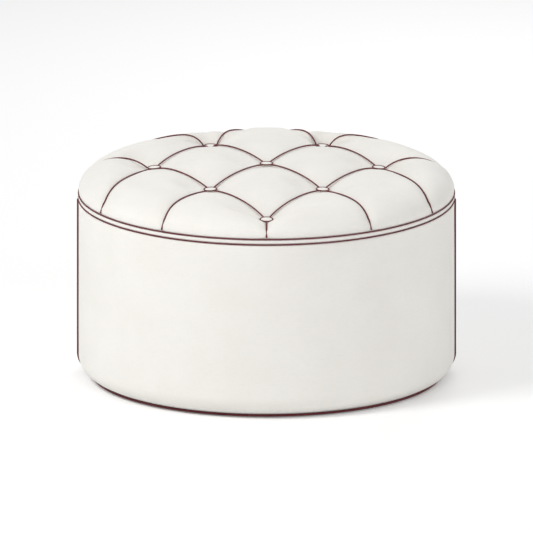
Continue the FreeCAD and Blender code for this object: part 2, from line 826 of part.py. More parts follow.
def make_seat_wadding():
    """Fibre filling between the cover and the foam slab, with ways for the twines."""
    gap = size("fit_gap")
    filling = filling_room(gap).cut(slab_room(gap))
    for way in tuft_cylinders(size("shank_hole")):
        filling = filling.cut(way)
    computed("seat_wadding", filling)


make_seat_cover()
make_seat_foam()
make_seat_wadding()


# Buttons, twines and pleat cords


def make_button(number, name):
    """A covered button with a shank, turned about its own axis."""
    rim = "(button_diameter / 2)"
    dome = "(button_height - button_edge)"
    shank = "(shank_diameter / 2)"
    button = turned(
        f"tuft_button_{number}",
        [
            (ZERO, "-shank_length"),
            (shank, "-shank_length"),
            (shank, ZERO),
            (rim, ZERO),
            (rim, "button_edge"),
            (ZERO, "button_height"),
        ],
        {4: (f"({rim} ^ 2 + {dome} ^ 2) / (2 * {dome})", 1)},
    )
    seat = button_seat(name)
    normal = crown_normal(seat)
    button.Placement = FreeCAD.Placement(seat + normal * size("fit_gap"), upright(normal))


def make_button_piping():
    rings = []
    for name in TUFTS:
        seat = button_seat(name)
        normal = crown_normal(seat)
        ring = Part.makeTorus(size(TRIM_CENTRE), size("button_trim_diameter") / 2)
        lift = normal * size("fit_gap + button_trim_diameter / 2")
        ring.Placement = FreeCAD.Placement(seat + lift, upright(normal))
        rings.append(ring)
    computed("button_piping", Part.makeCompound(rings))


def make_twines_and_washers():
    """Each twine runs from its button's shank, through the deck, to a knot under a washer."""
    thickness = size("tuft_washer_thickness")
    deck_bottom = size(DECK_BOTTOM)
    knot = size("knot_diameter") / 2
    twines, washers = [], []
    for name in TUFTS:
        spot = tuft(name)
        top = button_seat(name).z - size("shank_length") - size("fit_gap")
        bottom = deck_bottom - thickness - knot
        twine = Part.makeCylinder(size("twine_diameter") / 2, top - bottom, spot + UP * bottom)
        twines.append(twine.fuse(Part.makeSphere(knot, spot + UP * (bottom - size("fit_gap")))))
        face = spot + UP * (deck_bottom - thickness)
        disc = Part.makeCylinder(size("tuft_washer_diameter") / 2, thickness, face)
        hole = Part.makeCylinder(size("twine_hole") / 2, thickness, face)
        washers.append(disc.cut(hole))
    computed("tufting_twines", Part.makeCompound(twines))
    computed("twine_washers", Part.makeCompound(washers))


def cord_section(spot, way):
    return Part.Face(Part.Wire(Part.Circle(spot, way, size("pleat_cord_diameter") / 2).toShape()))


def cord_reach():
    """Height of a cord's middle over the crown or the rim roll that it lies on."""
    return size("pleat_cord_diameter / 2 + fit_gap")


def over_crown(spot):
    """The middle of a cord that lies on the crown over a place."""
    ring = crown_radius + cord_reach()
    return Vector(spot.x, spot.y, crown_centre.z + math.sqrt(ring**2 - spot.x**2 - spot.y**2))


def beside_button(name, towards):
    """The end of a cord at the edge of a button's well."""
    middle = tuft(name)
    way = Vector(towards.x - middle.x, towards.y - middle.y, 0).normalize()
    return over_crown(middle + way * size(PIT_RADIUS))


def crown_turn(start, end):
    """Axis and angle, in degrees, of the arc over the crown between two places."""
    first, last = start - crown_centre, end - crown_centre
    return first.cross(last).normalize(), math.degrees(first.getAngle(last))


def crown_cord(start, end):
    """A cord along the arc over the crown between two places."""
    axis, turn = crown_turn(start, end)
    section = cord_section(start, axis.cross(start - crown_centre))
    return section.revolve(crown_centre, axis, turn)


def inner_cord(first, last):
    """A cord between two buttons."""
    return crown_cord(beside_button(first, tuft(last)), beside_button(last, tuft(first)))


def rim_cords(name, alias, side):
    """A cord from a button to the edge of the crown, and one from there down the rim roll."""
    angle = rim_angle(alias, side)
    out = Vector(math.cos(angle), math.sin(angle), 0)
    edge = over_crown(out * (knee_radius + cord_reach() * math.sin(crown_lean)))
    start = beside_button(name, edge)
    back = (start - edge).normalize() * size("cord_joint")
    centre = out * roll_centre + UP * equator
    ring = roll_radius + cord_reach()
    low = math.asin((seat_underside + size("pleat_cord_diameter") - equator) / ring)
    high = roll_start - size("cord_joint") / ring
    way = out * math.sin(high) - UP * math.cos(high)
    section = cord_section(centre + (out * math.cos(high) + UP * math.sin(high)) * ring, way)
    bend = section.revolve(centre, UP.cross(out), math.degrees(high - low))
    return [crown_cord(start, over_crown(edge + back)), bend]


def make_pleat_piping():
    cords = [inner_cord(*pleat) for pleat in INNER_PLEATS]
    for pleat in RIM_PLEATS:
        cords += rim_cords(*pleat)
    computed("pleat_piping", Part.makeCompound(cords))


for number, name in enumerate(TUFTS, start=1):
    make_button(number, name)
make_button_piping()
make_twines_and_washers()
make_pleat_piping()


# Check and export

doc.recompute()
for obj in doc.Objects:
    if "Invalid" in obj.State or "Error" in obj.State:
        raise RuntimeError(f"{obj.Label}: {obj.State}")
os.makedirs("parts", exist_ok=True)
for piece in subparts:
    shape = piece.Shape
    if shape.isNull() or not shape.isValid():
        raise RuntimeError(f"{piece.Label}: bad shape")
for piece in subparts:
    piece.Shape.exportStep(f"parts/{piece.Label}.step")
    print(piece.Label, len(piece.Shape.Solids), round(piece.Shape.Volume))
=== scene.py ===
"""Round tufted ottoman in off-white upholstery with dark maroon contrast piping. Metres."""
import json
import math

import bpy
import numpy as np
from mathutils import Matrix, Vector, noise
from mathutils.geometry import delaunay_2d_cdt


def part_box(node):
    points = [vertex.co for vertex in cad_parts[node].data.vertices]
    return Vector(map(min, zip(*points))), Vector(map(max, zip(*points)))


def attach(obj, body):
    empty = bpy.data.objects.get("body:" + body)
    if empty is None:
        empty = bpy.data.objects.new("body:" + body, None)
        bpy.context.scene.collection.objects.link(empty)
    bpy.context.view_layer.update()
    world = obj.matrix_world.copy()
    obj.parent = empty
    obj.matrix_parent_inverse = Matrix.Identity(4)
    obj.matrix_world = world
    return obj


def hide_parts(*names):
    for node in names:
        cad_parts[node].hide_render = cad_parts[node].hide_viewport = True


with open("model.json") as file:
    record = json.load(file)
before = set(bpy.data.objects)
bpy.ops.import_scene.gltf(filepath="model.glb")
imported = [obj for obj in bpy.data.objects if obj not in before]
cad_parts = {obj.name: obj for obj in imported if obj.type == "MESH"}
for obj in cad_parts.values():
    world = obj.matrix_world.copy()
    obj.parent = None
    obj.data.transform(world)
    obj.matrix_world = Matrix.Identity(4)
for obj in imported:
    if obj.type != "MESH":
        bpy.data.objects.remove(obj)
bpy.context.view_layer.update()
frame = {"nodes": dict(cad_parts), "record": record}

# View of the photograph: orthographic, from the front and a little above
VIEW_ELEVATION = math.radians(14.5)
VIEW_WIDTH = 1.0747
VIEW_CENTRE_HEIGHT = 0.2167
CAMERA_DISTANCE = 4.0

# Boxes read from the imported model
side_low, side_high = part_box("side_cover_front")
welt_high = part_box("welt_cover")[1]
seat_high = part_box("seat_cover")[1]
button_boxes = [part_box(f"tuft_button_{k}") for k in range(1, 9)]

# Drum
DRUM_RADIUS = -side_low.y
SIDE_TOP = side_high.z
UNDERSIDE = side_low.z
BOTTOM_EDGE_RADIUS = 0.040
SHOULDER_RADIUS = 0.004
FABRIC = 0.0016
# Radii at which the side cloth ends: under the drum, and in the fold below the welt
MARGIN_INNER = 0.310
FOLD_END = 0.368
SEAM_CORD_RADIUS = 0.002

# Welt
WELT_RADIUS = 0.006
WELT_RING = welt_high.x - WELT_RADIUS
WELT_LEVEL = welt_high.z - WELT_RADIUS
GAP = 0.0003
EDGE_CORD_RADIUS = 0.0013

# Crown of the seat
SEAT_RADIUS = seat_high.x
SEAT_BOTTOM = welt_high.z + GAP
ROLL_DROP = 0.0072
EQUATOR = SEAT_BOTTOM + ROLL_DROP
CROWN_SHOULDER = 0.049
CROWN_DOME = 0.014
CROWN_POWER = 8
ROLL_RADIUS = 0.038
# Points along its profile: over the crown, and down the roll to the welt
CROWN_STEPS = 4000
ROLL_STEPS = 60

# Buttons and pleat cords. BUTTON_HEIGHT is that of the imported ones, for finding their seats
BUTTON_RADIUS = 0.0113
BUTTON_HEIGHT = 0.008
BUTTON_DOME = 0.0060
BUTTON_LEAN_RADIUS = 3.07
TRIM_RADIUS = 0.00125
TRIM_RING = BUTTON_RADIUS + TRIM_RADIUS + 0.0002
TRIM_LEVEL = 0.0048
WELL_RADIUS = TRIM_RING + TRIM_RADIUS + 0.0002
WELL_SLOPE = 1.2
# The well's floor lies this far under the button, and its edge is rounded over this height
WELL_CLEAR = 0.0004
WELL_BLEND = 0.0015
PLEAT_CORD_RADIUS = 0.0015
# Spacing of a cord's points, its gap to a button's well, and its least gap to its fold's bottom
CORD_STEP = 0.005
CORD_END_CLEAR = 0.0006
CORD_CLEAR = 0.0004


def plan(box):
    """The middle of a box, seen from above."""
    return np.array([(box[0].x + box[1].x) / 2, (box[0].y + box[1].y) / 2])


TUFT_NAMES = ["front", "left_front", "right_front", "left_side"]
TUFT_NAMES += ["middle", "right_side", "left_back", "right_back"]
TUFTS = {name: plan(box) for name, box in zip(TUFT_NAMES, button_boxes)}
BUTTON_SEATS = {name: box[1].z - BUTTON_HEIGHT for name, box in zip(TUFT_NAMES, button_boxes)}
INNER_PLEATS = [
    ("front", "left_front"),
    ("front", "right_front"),
    ("left_front", "left_side"),
    ("left_front", "middle"),
    ("right_front", "middle"),
    ("right_front", "right_side"),
    ("left_side", "left_back"),
    ("middle", "left_back"),
    ("middle", "right_back"),
    ("right_side", "right_back"),
]
# Pleats that run out over the rim: button, degrees from the front towards the right, how fast
# the pleat rises out of the button's pit, its depth at the rim, and its reach at the button
RIM_PLEATS = [("front", 0.0, 0.9, 0.006, 0.130)]
for side, sign in (("left", -1), ("right", 1)):
    RIM_PLEATS += [
        (f"{side}_front", sign * 33.9, 1.5, 0.006, 0.080),
        (f"{side}_side", sign * 61.9, 1.5, 0.006, 0.080),
        (f"{side}_side", sign * 105.0, 3.5, 0.005, 0.060),
        (f"{side}_back", sign * 131.0, 9.0, 0.002, 0.029),
        (f"{side}_back", sign * 178.0, 7.0, 0.002, 0.029),
    ]

INNER_DEPTH = 0.027
# Folds are this much deeper than the cords in them: where a pleat is shallow, and where deep
SHALLOW_LIFT = 0.0018
SHALLOW_DEPTH = 0.006
DEEP_LIFT = 0.0038
INNER_RISE = 2.2
# How far an inner pleat draws the cover down beside it, farther at the back, and where that
# fades out
INNER_REACH = 0.098
BACK_REACH = 0.140
INNER_FADE = (0.290, 0.345)
# A rim pleat's reach at the welt
END_REACH = 0.026
# The lower this power, the faster a puff rises beside its pleats
PUFF_POWER = 0.9
# Keeps a pleat's weight finite on its own line, as a share of its reach
NEAREST_SHARE = 0.02
# The puffs in the middle lie this much lower than the crown line, less between these radii
PUFF_SETTLE = 0.009
SETTLE_FADE = (0.335, 0.250)
# Share of the pull that is left near the welt, and where it falls off, from the welt inwards
WELT_HOLD = 0.1
WELT_HOLD_ZONE = (0.002, 0.034)
# Distance over which the painted shade in a fold fades out beside it
PAINTED_SHADE_FADE = 0.007

# Puckers of the cover: height, and for those round a button where they lie and how wide
BUTTON_PUCKER = 0.0007
BUTTON_PUCKER_RING = 0.021
BUTTON_PUCKER_WIDTH = 0.009
BUTTON_PUCKER_COUNTS = (17, 29)
WELT_PUCKER = 0.00045
WELT_PUCKER_ZONE = (0.022, 0.004)
WELT_PUCKER_COUNT = 151
PUCKER_FADE = (0.012, 0.001)
# Radii between which the pull turns from straight down to square to the surface
RIM_TURN = (0.30, 0.365)
# Softness of the filling: height and waves per metre, coarse and fine
SOFT_RELIEF = (0.0011, 9)
FINE_RELIEF = (0.00025, 38)


# Thread spacing and tones of the cloths
LINEN_THREAD = 0.0013
LINEN = (0.90, 0.875, 0.82)
LINEN_COOL = (0.885, 0.862, 0.812)
LINEN_WARM = (0.915, 0.896, 0.852)
SLUB_TONE = (0.82, 0.785, 0.715)
# Painted shade: the darker, warmer tone given to the cloth in folds, along seams and round the buttons'
# bases
PAINTED_FOLD_SHADE = (0.74, 0.70, 0.63)
PIPING_THREAD = 0.0011
MAROON = (0.14, 0.010, 0.015)
MAROON_DARK = (0.105, 0.006, 0.010)
MAROON_LIGHT = (0.165, 0.012, 0.018)
MAROON_WORN = (0.23, 0.035, 0.042)
DUST_CLOTH_THREAD = 0.0012
DUST_CLOTH = (0.03, 0.03, 0.03)
DUST_CLOTH_DARK = (0.018, 0.018, 0.019)
DUST_CLOTH_LIGHT = (0.05, 0.05, 0.052)


# Node helpers


def new_material(name, slot_color, roughness):
    """A principled material, with its node tree and shader."""
    material = bpy.data.materials.new(name)
    material.use_nodes = True
    tree = material.node_tree
    shader = tree.nodes["Principled BSDF"]
    shader.inputs["Base Color"].default_value = (*slot_color, 1)
    shader.inputs["Roughness"].default_value = roughness
    return material, tree, shader


def node(tree, kind, **values):
    made = tree.nodes.new(kind)
    for key, value in values.items():
        setattr(made, key, value)
    return made


def feed(tree, socket, value):
    if isinstance(value, (int, float)):
        socket.default_value = value
    else:
        tree.links.new(value, socket)


def calc(tree, operation, *terms):
    made = node(tree, "ShaderNodeMath", operation=operation)
    for socket, value in zip(made.inputs, terms):
        feed(tree, socket, value)
    return made.outputs[0]


def ramp(tree, value, low, high, start=0.0, end=1.0):
    """Maps value from low..high to start..end, clamped."""
    made = node(tree, "ShaderNodeMapRange")
    for socket, term in zip(made.inputs, (value, low, high, start, end)):
        feed(tree, socket, term)
    return made.outputs[0]


def noise_value(tree, vector, scale, detail=2.0, rough=0.5):
    made = node(tree, "ShaderNodeTexNoise")
    tree.links.new(vector, made.inputs["Vector"])
    made.inputs["Scale"].default_value = scale
    made.inputs["Detail"].default_value = detail
    made.inputs["Roughness"].default_value = rough
    return made.outputs["Fac"]


def stretched(tree, vector, x, y, z=1.0):
    made = node(tree, "ShaderNodeMapping")
    tree.links.new(vector, made.inputs["Vector"])
    made.inputs["Scale"].default_value = (x, y, z)
    return made.outputs["Vector"]


def mixed(tree, share, first, second):
    """Colour between two, by a share from 0 to 1."""
    made = node(tree, "ShaderNodeMix", data_type="RGBA")
    feed(tree, made.inputs["Factor"], share)
    for socket, color in ((made.inputs[6], first), (made.inputs[7], second)):
        if isinstance(color, tuple):
            socket.default_value = (*color, 1)
        else:
            tree.links.new(color, socket)
    return made.outputs[2]


def surfaced(tree, shader, color, height, strength, distance):
    """Gives a shader its colour and its bump."""
    tree.links.new(color, shader.inputs["Base Color"])
    made = node(tree, "ShaderNodeBump")
    made.inputs["Strength"].default_value = strength
    made.inputs["Distance"].default_value = distance
    tree.links.new(height, made.inputs["Height"])
    tree.links.new(made.outputs["Normal"], shader.inputs["Normal"])


def weave_height(tree, u, v, thread):
    """Plain weave: threads along u and v that pass over each other in turn."""
    rows = calc(tree, "DIVIDE", u, thread)
    columns = calc(tree, "DIVIDE", v, thread)
    cell = calc(tree, "ADD", calc(tree, "FLOOR", rows), calc(tree, "FLOOR", columns))
    parity = calc(tree, "PINGPONG", cell, 1.0)
    bulge_u = calc(tree, "ABSOLUTE", calc(tree, "SINE", calc(tree, "MULTIPLY", rows, math.pi)))
    bulge_v = calc(tree, "ABSOLUTE", calc(tree, "SINE", calc(tree, "MULTIPLY", columns, math.pi)))
    along_u = calc(tree, "MULTIPLY", parity, bulge_u)
    along_v = calc(tree, "MULTIPLY", calc(tree, "SUBTRACT", 1.0, parity), bulge_v)
    return calc(tree, "ADD", along_u, along_v)


def surface_coordinates(tree):
    """The cloth's own coordinates in metres, and its two parts."""
    made = node(tree, "ShaderNodeUVMap", uv_map="cloth")
    parts = node(tree, "ShaderNodeSeparateXYZ")
    tree.links.new(made.outputs["UV"], parts.inputs[0])
    return made.outputs["UV"], parts.outputs[0], parts.outputs[1]


def make_upholstery():
    """Off-white linen weave, with slubs along both threads, and painted shade in its folds: a darker, warmer
    tone.
    """
    material, tree, shader = new_material("ivory_upholstery", LINEN, 0.88)
    shader.inputs["Sheen Weight"].default_value = 0.2
    shader.inputs["Sheen Roughness"].default_value = 0.6
    uv, u, v = surface_coordinates(tree)
    threads = weave_height(tree, u, v, LINEN_THREAD)
    weft = noise_value(tree, stretched(tree, uv, 60, 700), 1.0, 3.0)
    warp = noise_value(tree, stretched(tree, uv, 700, 60), 1.0, 3.0)
    slubs = calc(tree, "MAXIMUM", ramp(tree, weft, 0.52, 0.75), ramp(tree, warp, 0.55, 0.78))
    clouds = noise_value(tree, uv, 9.0)
    fold = node(tree, "ShaderNodeAttribute", attribute_name="fold").outputs["Fac"]
    base = mixed(tree, ramp(tree, clouds, 0.3, 0.7), LINEN_COOL, LINEN_WARM)
    base = mixed(tree, calc(tree, "MULTIPLY", slubs, 0.45), base, SLUB_TONE)
    # Painted shade: the fold attribute darkens and warms the cloth in folds, along seams and round the
    # buttons' bases
    base = mixed(tree, calc(tree, "MULTIPLY", fold, 0.35), base, PAINTED_FOLD_SHADE)
    height = calc(tree, "ADD", threads, calc(tree, "MULTIPLY", slubs, 0.8))
    surfaced(tree, shader, base, height, 0.35, 0.0004)
    return material


def make_piping_cloth():
    """Dark maroon bias-cut cord cover: the weave runs slantwise round the cord."""
    material, tree, shader = new_material("maroon_piping", MAROON, 0.72)
    shader.inputs["Sheen Weight"].default_value = 0.08
    shader.inputs["Sheen Roughness"].default_value = 0.5
    uv, u, v = surface_coordinates(tree)
    slant = calc(tree, "ADD", u, v)
    counter = calc(tree, "SUBTRACT", u, v)
    threads = weave_height(tree, slant, counter, PIPING_THREAD)
    speckle = noise_value(tree, uv, 900.0)
    wear = noise_value(tree, uv, 40.0, 3.0)
    base = mixed(tree, ramp(tree, speckle, 0.35, 0.7), MAROON_DARK, MAROON_LIGHT)
    base = mixed(tree, ramp(tree, wear, 0.62, 0.85, 0.0, 0.3), base, MAROON_WORN)
    surfaced(tree, shader, base, threads, 0.5, 0.0004)
    return material


def grained(name, low, high, roughness, scale, stretch=(1, 1, 1), bump=0.3, metallic=0.0):
    """A material whose colour, from low to high, and relief follow a noise along its grain."""
    middle = tuple((a + b) / 2 for a, b in zip(low, high))
    material, tree, shader = new_material(name, middle, roughness)
    shader.inputs["Metallic"].default_value = metallic
    place = node(tree, "ShaderNodeTexCoord").outputs["Object"]
    grain = noise_value(tree, stretched(tree, place, *stretch), scale, 5.0, 0.6)
    fine = noise_value(tree, stretched(tree, place, *stretch), scale * 5, 3.0)
    share = calc(tree, "ADD", calc(tree, "MULTIPLY", grain, 0.7), calc(tree, "MULTIPLY", fine, 0.3))
    color = mixed(tree, ramp(tree, share, 0.35, 0.65), low, high)
    worn = ramp(tree, grain, 0.3, 0.7, roughness - 0.07, roughness + 0.07)
    tree.links.new(worn, shader.inputs["Roughness"])
    surfaced(tree, shader, color, share, bump, 0.0006)
    return material


def make_dust_cloth_material():
    """Black non-woven cloth with a fine grid of pressed dots."""
    material, tree, shader = new_material("dust_cloth", DUST_CLOTH, 0.9)
    uv, u, v = surface_coordinates(tree)
    dots = weave_height(tree, u, v, DUST_CLOTH_THREAD)
    fibres = noise_value(tree, uv, 900.0, 4.0, 0.7)
    base = mixed(tree, ramp(tree, fibres, 0.3, 0.7), DUST_CLOTH_DARK, DUST_CLOTH_LIGHT)
    surfaced(tree, shader, base, calc(tree, "ADD", dots, fibres), 0.4, 0.0003)
    return material


upholstery = make_upholstery()
piping_cloth = make_piping_cloth()
dust_cloth = make_dust_cloth_material()
# Low and high tone, roughness, noise scale, stretch along the grain, bump and metallic
CARRIED_LOOKS = {
    "plywood": ((0.62, 0.46, 0.28), (0.80, 0.65, 0.45), 0.6, 22.0, (0.3, 3, 8)),
    "softwood": ((0.70, 0.50, 0.28), (0.86, 0.70, 0.46), 0.6, 40.0, (4, 4, 0.25)),
    "fibreboard": ((0.34, 0.23, 0.13), (0.52, 0.38, 0.25), 0.55, 700.0),
    "tack_board": ((0.52, 0.44, 0.33), (0.70, 0.62, 0.50), 0.85, 500.0, (1, 1, 3)),
    "zinc_steel": ((0.60, 0.59, 0.55), (0.78, 0.77, 0.73), 0.35, 250.0, (1, 1, 1), 0.3, 1.0),
    "glide_plastic": ((0.075, 0.068, 0.06), (0.125, 0.11, 0.10), 0.45, 600.0, (1, 1, 1), 0.15),
    "washer_plastic": ((0.80, 0.79, 0.74), (0.90, 0.89, 0.86), 0.4, 300.0, (1, 1, 1), 0.1),
    "side_foam": ((0.78, 0.73, 0.53), (0.93, 0.90, 0.74), 0.95, 900.0, (1, 1, 1), 0.8),
    "seat_foam": ((0.84, 0.78, 0.50), (0.97, 0.93, 0.70), 0.95, 800.0, (1, 1, 1), 0.8),
    "wadding": ((0.84, 0.84, 0.82), (0.97, 0.97, 0.96), 0.95, 120.0, (1, 1, 5), 0.9),
    "cord_core": ((0.80, 0.77, 0.70), (0.95, 0.93, 0.88), 0.9, 500.0, (1, 1, 1), 0.6),
    "twine": ((0.66, 0.59, 0.46), (0.86, 0.80, 0.68), 0.8, 900.0, (1, 1, 0.4), 0.6),
}
CARRIED = {name: grained(name, *look) for name, look in CARRIED_LOOKS.items()}


def dress_carried_nodes():
    """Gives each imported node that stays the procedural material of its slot."""
    for subpart in frame["record"]["subparts"]:
        material = CARRIED.get(subpart["material_slot"])
        if material:
            for place in frame["nodes"][subpart["node"]].material_slots:
                place.material = material


dress_carried_nodes()


# Mesh helpers


def make_piece(name, vertices, faces, uvs, material, slot):
    """A smooth-shaded mesh piece that rides on the body, with cloth coordinates per corner."""
    mesh = bpy.data.meshes.new(name)
    mesh.from_pydata([tuple(v) for v in vertices], [], [tuple(f) for f in faces])
    layer = mesh.uv_layers.new(name="cloth")
    layer.data.foreach_set("uv", np.asarray(uvs, np.float32).ravel())
    mesh.polygons.foreach_set("use_smooth", [True] * len(mesh.polygons))
    mesh.update()
    piece = bpy.data.objects.new(name, mesh)
    bpy.context.scene.collection.objects.link(piece)
    mesh.materials.append(material)
    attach(piece, "root")
    return piece


def set_painted_shade(piece, values):
    """Stores how much painted shade each point gets, from 0 to 1, most where it lies deep in a fold."""
    attribute = piece.data.attributes.new("fold", "FLOAT", "POINT")
    attribute.data.foreach_set("value", np.asarray(values, np.float32))


# Slopes at which a tube's rounded ends are stepped, in degrees
END_TURNS = (80, 55, 28)


def tube(points, radius, closed=False, sides=12):
    """Vertices, faces and corner coordinates of a cord along points, with rounded ends."""
    points = np.asarray(points, float)
    if closed:
        ways = np.roll(points, -1, 0) - np.roll(points, 1, 0)
    else:
        ways = np.gradient(points, axis=0)
    ways /= np.linalg.norm(ways, axis=1)[:, None]
    radii = np.full(len(points), radius)
    if not closed:
        turns = np.radians(END_TURNS)
        starts = [points[0] - ways[0] * radius * math.sin(a) for a in turns]
        ends = [points[-1] + ways[-1] * radius * math.sin(a) for a in turns[::-1]]
        points = np.vstack([starts, points, ends])
        ways = np.vstack([[ways[0]] * len(turns), ways, [ways[-1]] * len(turns)])
        radii = np.concatenate([radius * np.cos(turns), radii, radius * np.cos(turns[::-1])])
    normal = np.cross(ways[0], (0, 0, 1))
    if np.linalg.norm(normal) < 1e-3:
        normal = np.cross(ways[0], (0, 1, 0))
    angles = np.arange(sides) * 2 * math.pi / sides
    rings = []
    for point, way, size in zip(points, ways, radii):
        normal = normal - way * normal.dot(way)
        normal = normal / np.linalg.norm(normal)
        other = np.cross(way, normal)
        around = np.outer(np.cos(angles), normal) + np.outer(np.sin(angles), other)
        rings.append(point + size * around)
    vertices = np.vstack(rings)
    count = len(points)
    runs = np.linalg.norm(np.diff(np.vstack([points, points[:1]]), axis=0), axis=1)
    along = np.concatenate([[0], np.cumsum(runs)])
    step = 2 * math.pi * radius / sides
    faces, uvs = [], []
    for i in range(count if closed else count - 1):
        j = (i + 1) % count
        for k in range(sides):
            m = (k + 1) % sides
            faces.append((i * sides + k, i * sides + m, j * sides + m, j * sides + k))
            uvs += [(along[i], k * step), (along[i], (k + 1) * step)]
            uvs += [(along[i + 1], (k + 1) * step), (along[i + 1], k * step)]
    if not closed:
        faces.append(tuple(range(sides))[::-1])
        faces.append(tuple((count - 1) * sides + k for k in range(sides)))
        uvs += [(0, k * step) for k in range(sides)] * 2
    return vertices, faces, uvs


def joined(parts):
    """Several vertex, face and coordinate sets as one."""
    vertices, faces, uvs, base = [], [], [], 0
    for part_vertices, part_faces, part_uvs in parts:
        vertices.append(part_vertices)
        faces += [tuple(k + base for k in face) for face in part_faces]
        uvs += list(part_uvs)
        base += len(part_vertices)
    return np.vstack(vertices), faces, uvs


def ring_points(radius, level, count, centre=(0, 0)):
    turns = np.arange(count) * 2 * math.pi / count
    x, y = centre[0] + radius * np.cos(turns), centre[1] + radius * np.sin(turns)
    return np.stack([x, y, np.full(count, level)], 1)


def smoothstep(low, high, value):
    t = np.clip((value - low) / (high - low), 0, 1)
    return t * t * (3 - 2 * t)


# Seat: the crown's profile, then the tufting


def crown_height(radius):
    share = np.clip(radius / SEAT_RADIUS, 0, 1)
    shoulder = np.sqrt(np.clip(1 - share**CROWN_POWER, 0, 1))
    return EQUATOR + CROWN_SHOULDER * shoulder + CROWN_DOME * (1 - share**2)


def seat_profile():
    """Radius and height from the middle out and down to the welt, with the distance along."""
    turns = np.linspace(0, math.pi / 2, CROWN_STEPS)
    radius = SEAT_RADIUS * np.sin(turns) ** (2 / CROWN_POWER)
    height = crown_height(radius)
    height[-1] = EQUATOR
    lower = np.linspace(0, math.asin(ROLL_DROP / ROLL_RADIUS), ROLL_STEPS)[1:]
    radius = np.concatenate([radius, SEAT_RADIUS - ROLL_RADIUS * (1 - np.cos(lower))])
    height = np.concatenate([height, EQUATOR - ROLL_RADIUS * np.sin(lower)])
    along = np.concatenate([[0], np.cumsum(np.hypot(np.diff(radius), np.diff(height)))])
    return radius, height, along


profile_radius, profile_height, profile_along = seat_profile()
profile_slope_r = np.gradient(profile_radius, profile_along)
profile_slope_z = np.gradient(profile_height, profile_along)
SEAT_REACH = profile_along[-1]
RIM_ALONG = np.interp(EQUATOR, profile_height[::-1], profile_along[::-1])


def along_of(radius):
    """Distance along the profile of a place on the crown."""
    return np.interp(radius, profile_radius[:CROWN_STEPS], profile_along[:CROWN_STEPS])


def to_cloth(spots):
    """Plan places as places on the flat cloth, whose radius is the distance along the profile."""
    radius = np.maximum(np.hypot(spots[:, 0], spots[:, 1]), 1e-9)
    return spots * (along_of(radius) / radius)[:, None]


def segment_share(spots, start, end):
    """Distance of plan places to a segment, and the share of it that each is nearest to."""
    run = end - start
    share = np.clip(((spots - start) @ run) / (run @ run), 0, 1)
    nearest = start + share[:, None] * run
    return np.linalg.norm(spots - nearest, axis=1), share


def rim_end(angle):
    turn = math.radians(angle)
    return np.array([math.sin(turn), -math.cos(turn)]) * SEAT_RADIUS


def button_depth(name):
    """Depth below the crown at which cords meet a button's trim."""
    return float(crown_height(np.linalg.norm(TUFTS[name]))) - BUTTON_SEATS[name] - TRIM_LEVEL


def pleat_lines():
    """Every pleat: plan start and end, cord depths at its buttons, least depth, rise and reach."""
    lines = []
    for first, last in INNER_PLEATS:
        depths = (button_depth(first), button_depth(last))
        reach = BACK_REACH if last.endswith("back") else INNER_REACH
        lines.append((TUFTS[first], TUFTS[last], depths, INNER_DEPTH, INNER_RISE, reach))
    for name, angle, rise, depth, reach in RIM_PLEATS:
        lines.append((TUFTS[name], rim_end(angle), (button_depth(name), None), depth, rise, reach))
    return lines


PLEATS = pleat_lines()


def pleat_depth(line, share):
    """Depth of the cord along a pleat: inner pleats arch up, rim pleats run out."""
    start, end, ends, depth, rise = line[:5]
    edge = WELL_RADIUS / np.linalg.norm(end - start)
    if ends[1] is None:
        run = np.clip((share - edge) / (1 - edge), 0, 1)
        return depth + (ends[0] - depth) * (1 - run) ** rise
    run = np.clip((share - edge) / (1 - 2 * edge), 0, 1)
    deep = ends[0] + (ends[1] - ends[0]) * run
    return depth + (deep - depth) * np.abs(2 * run - 1) ** rise


def fold_lift(depth):
    """How far the bottom of a fold lies under the cord in it."""
    return np.interp(depth, [SHALLOW_DEPTH, INNER_DEPTH], [SHALLOW_LIFT, DEEP_LIFT])


def hold_at_welt(along):
    """The share of the tufting's pull that is left near the welt, where the cover is sewn down."""
    outer, inner = WELT_HOLD_ZONE
    return WELT_HOLD + (1 - WELT_HOLD) * smoothstep(SEAT_REACH - outer, SEAT_REACH - inner, along)


def tufting(spots):
    """How far the tufting pulls plan places in, and how much painted shade they get for lying near a pleat's
    fold, from 0 to 1.

    Each pleat draws the cover down towards its own depth, and the nearest one counts most.
    """
    lift = np.ones(len(spots))
    weights = np.full(len(spots), 1e-9)
    depths = np.zeros(len(spots))
    nearest = np.full(len(spots), 1.0)
    radius = np.hypot(spots[:, 0], spots[:, 1])
    inner_pull = 1 - smoothstep(*INNER_FADE, radius)
    for line in PLEATS:
        distance, share = segment_share(spots, line[0], line[1])
        reach, pull = line[5], inner_pull
        if line[2][1] is None:
            reach, pull = reach + (END_REACH - reach) * share, 1
        away = np.clip(distance / reach, 0, 1)
        lift *= 1 - pull * (1 - (1 - (1 - away) ** 2) ** PUFF_POWER)
        weight = (1 - away) ** 4 / (away + NEAREST_SHARE) ** 1.5
        weights += weight
        depth = pleat_depth(line, share)
        depths += weight * (depth + fold_lift(depth))
        nearest = np.minimum(nearest, distance)
    settled = PUFF_SETTLE * smoothstep(*SETTLE_FADE, radius)
    return depths / weights * (1 - lift) + settled * lift, np.exp(-nearest / PAINTED_SHADE_FADE)


def button_axes(name):
    """Two directions across a button and its own upright one, which leans outwards but not back."""
    x, y = TUFTS[name]
    y = min(y, 0.0)
    normal = np.array([x, y, math.sqrt(BUTTON_LEAN_RADIUS**2 - x * x - y * y)]) / BUTTON_LEAN_RADIUS
    side = np.cross((0, 1, 0), normal)
    side /= np.linalg.norm(side)
    return side, np.cross(normal, side), normal


def button_place(name, spots):
    """Places given across and up from a button's seat, in the frame."""
    seat = np.array([*TUFTS[name], BUTTON_SEATS[name]])
    return seat + np.asarray(spots) @ np.array(button_axes(name))


